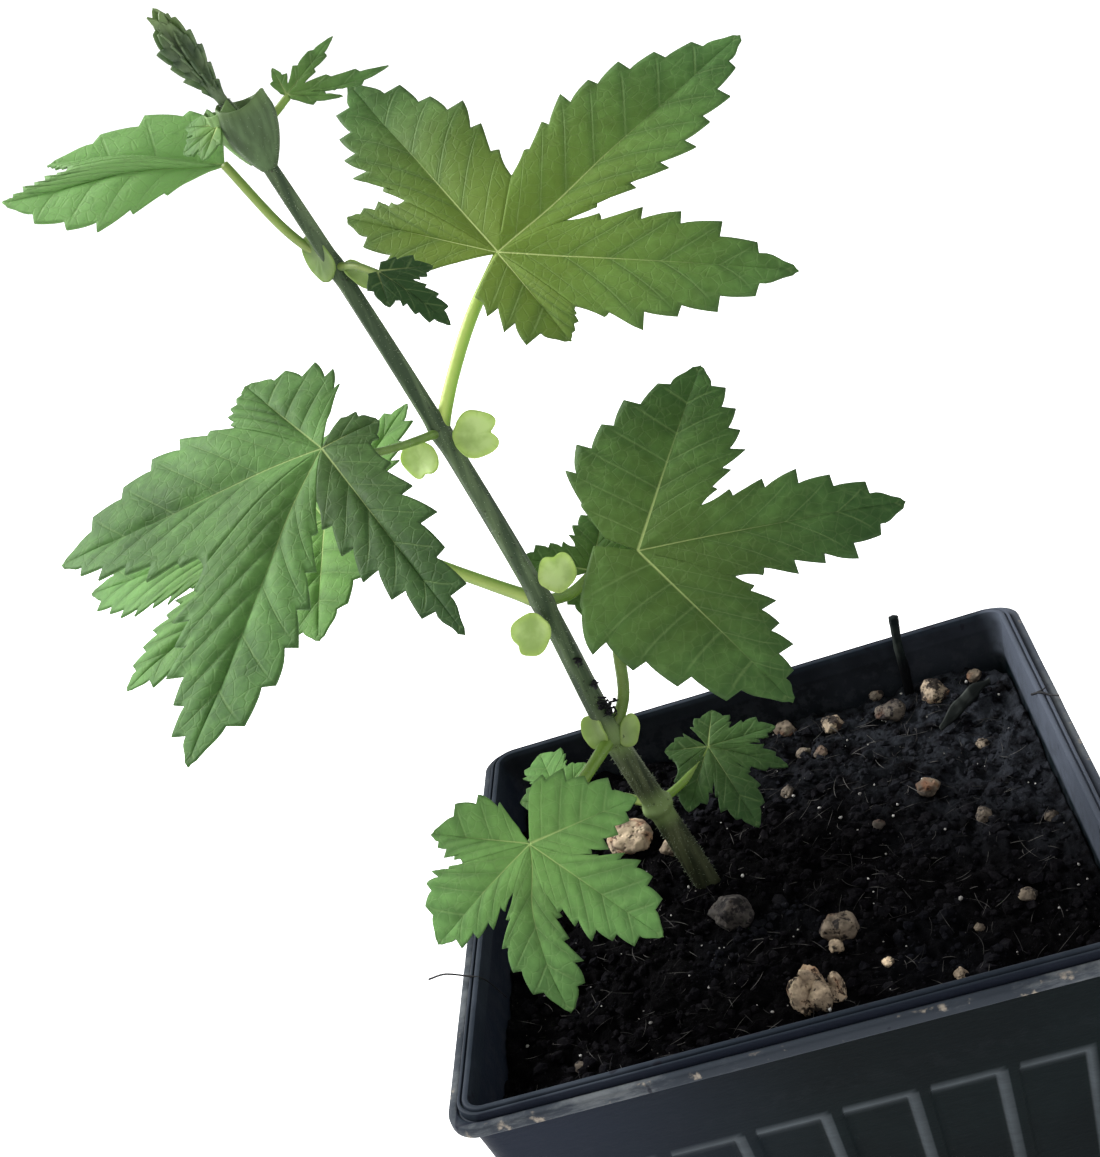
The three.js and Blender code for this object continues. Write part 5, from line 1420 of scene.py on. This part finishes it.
scaleSkin = scaleFinish()
for index, (name, *shape) in enumerate(scales["ovals"]):
    points, tris, marks = scaleShape(index, *shape)
    addPiece(f"stipule_{name}", points, tris, scaleSkin, [f"scale_{name}"], marks)
tipHairs = []
for index, (name, foot, head, radius, dark) in enumerate(scales["cups"]):
    points, tris, rings, out = sheathShape(foot, head, radius)
    addPiece(f"stipule_{name}", points, tris, sheathFinish(f"sheath_finish_{name}", dark),
             [f"scale_{name}"])
    tipHairs.append(hairCloud(rings, out, 260, 80 + index, 0.4, 0.016))

tipBud = {
    "foot": (-30.9, 0.3, 210.6), "head": (-34.75, -0.3, 224.2),
    "core": (0.55, 0.75, 0.8, 0.6, 0.25),
    "tooth": 0.45, "fold": -0.75, "quilt": 0.6, "teeth": 6, "widest": 0.62,
    "green": ((0.046, 0.078, 0.040), (0.125, 0.180, 0.085)), "top": (0.20, 0.30, 0.09),
    "glow": (0.3, 0.5, 0.12),
    "leaves": [  # turn about the bud's axis in degrees, start and end along it, half-width
        (-90, 0.12, 1.0, 2.1), (-20, 0.2, 0.93, 1.8), (35, 0.15, 0.97, 1.7),
        (150, 0.2, 0.95, 1.8), (210, 0.12, 0.9, 1.7),
    ],
}


def furledLeaf(index, turn, start, end, half):
    # a narrow toothed blade lying against the bud, folded along its midrib
    foot, head = np.array(tipBud["foot"]), np.array(tipBud["head"])
    axis = unit(head - foot)
    side = unit(np.cross(axis, [0, 1, 0]))
    angle = math.radians(turn)
    facing = math.cos(angle) * side + math.sin(angle) * np.cross(axis, side)
    length = np.linalg.norm(head - foot) * (end - start)
    margin = (half, tipBud["widest"])
    return bladeShape({
        "at": lerp(foot, head, start) + facing * 0.55, "normal": facing, "toward": axis,
        "tooth": tipBud["tooth"], "fold": tipBud["fold"], "quilt": tipBud["quilt"],
        "seed": 20 + index, "size": length, "light": 0.3, "yellow": 0,
        "lobes": [(0, length, -0.5, margin, margin, tipBud["teeth"], 0)],
        "notches": [(-90, 0.5), (90, 0.5)]})


def budFinish():  # streaked grey green, brighter at the top
    f = Finish("bud_finish")
    streak = f.grain(700, 4, 0.6)
    green = f.mix(streak.step(0.3, 0.7), *tipBud["green"])
    green = f.mix(f.parts(f.place())[2].step(0.219, 0.2245) * 0.6, green, tipBud["top"])
    skin = f.principled(green, 0.6, f.bump(streak, 0.6, 0.0003))
    return f.surface(f.tissue(0.25, skin, tipBud["glow"]))


foot, head = np.array(tipBud["foot"]), np.array(tipBud["head"])
points, tris, rings, out = tube([foot, lerp(foot, head, 0.3), lerp(foot, head, 0.65),
                                 lerp(foot, head, 0.9)], tipBud["core"], 24, 40)
parts = [(points, tris)] + [furledLeaf(index, *shape)[:2]
                            for index, shape in enumerate(tipBud["leaves"])]
points, tris = joined(parts)
addPiece("furled_tip", points, tris, budFinish(), ["tip_bud"])
tipHairs.append(hairCloud(rings, out * 2.2, 500, 90, 0.3, 0.016))
points, tris = joined(tipHairs)
addPiece("tip_hairs", points, tris, hairs)
print("scales and tip ready")

litter = {
    "clumps": [  # black bits caught on the bristles: centre, spread, how many
        ((-14.9, 1.3, 119.6), (1.1, 0.35, 1.3), 46), ((-15.6, 1.2, 123.6), (0.5, 0.3, 0.7), 12),
        ((-16.3, 1.1, 127.6), (0.35, 0.25, 0.6), 9),
    ],
    "strands": [  # dark fibres lying over the rim: path and radius
        ([(-50, -12.6, 94.2), (-47, -14.2, 95.4), (-43.8, -15.6, 95.15), (-41.6, -16.4, 94.6),
          (-39.4, -17, 91)], 0.16),
        ([(41.4, 15.2, 94.4), (42.6, 13.7, 95.2), (43.6, 12.6, 95.1), (44.7, 11.4, 95.3)], 0.2),
        ([(42.1, 14.6, 94.9), (43, 14.2, 95.3), (43.7, 14.6, 95.4)], 0.12),
    ],
    "bark": ([(27.8, 24.6, 87.3), (31, 27.2, 88.2), (34.6, 30.4, 88.6), (37.4, 32.8, 88.2)], 1.5),
    "barkTints": ((0.02, 0.024, 0.022), (0.06, 0.068, 0.062)),
    "bitTints": ((0.004, 0.004, 0.005), (0.012, 0.012, 0.014)),
}
darkBits = fibreFinish("clump_finish", *litter["bitTints"])
parts = []
for index, (centre, spread, count) in enumerate(litter["clumps"]):
    roll = np.random.default_rng(70 + index)
    spots = np.array(centre) + roll.normal(0, 0.6, (count, 3)) * np.array(spread)
    parts.append(fibreCloud(count, 75 + index, (0.5, 1.9), 0.15, spots, 0))
    parts.append(lumpCloud(spots[::2], 0.3 + 0.5 * roll.uniform(0, 1, len(spots[::2])),
                           78 + index))
points, tris = joined(parts)
addPiece("caught_bits", points, tris, darkBits)
parts = [tube([np.array(p) for p in path], [radius, radius * 0.8, radius * 0.5], 8, 40)[:2]
         for path, radius in litter["strands"]]
points, tris = joined(parts)
addPiece("rim_strands", points, tris, darkBits)


def flake(t, turn):  # a flat sliver: wide one way, thin the other, ragged at its ends
    flat = 1 / np.sqrt(np.cos(turn) ** 2 * 18 + np.sin(turn) ** 2)
    ragged = 1 + 0.12 * np.sin(17 * t + 2 * turn)
    return flat * (0.35 + 0.65 * np.sin(np.pi * np.clip(t * 1.1, 0, 1))) * ragged


path, radius = litter["bark"]
points, tris, _, _ = tube([np.array(p) for p in path], [radius] * 3, 20, 44, flake)
addPiece("bark_flake", points, tris, fibreFinish("bark_finish", *litter["barkTints"]))
print("litter ready")
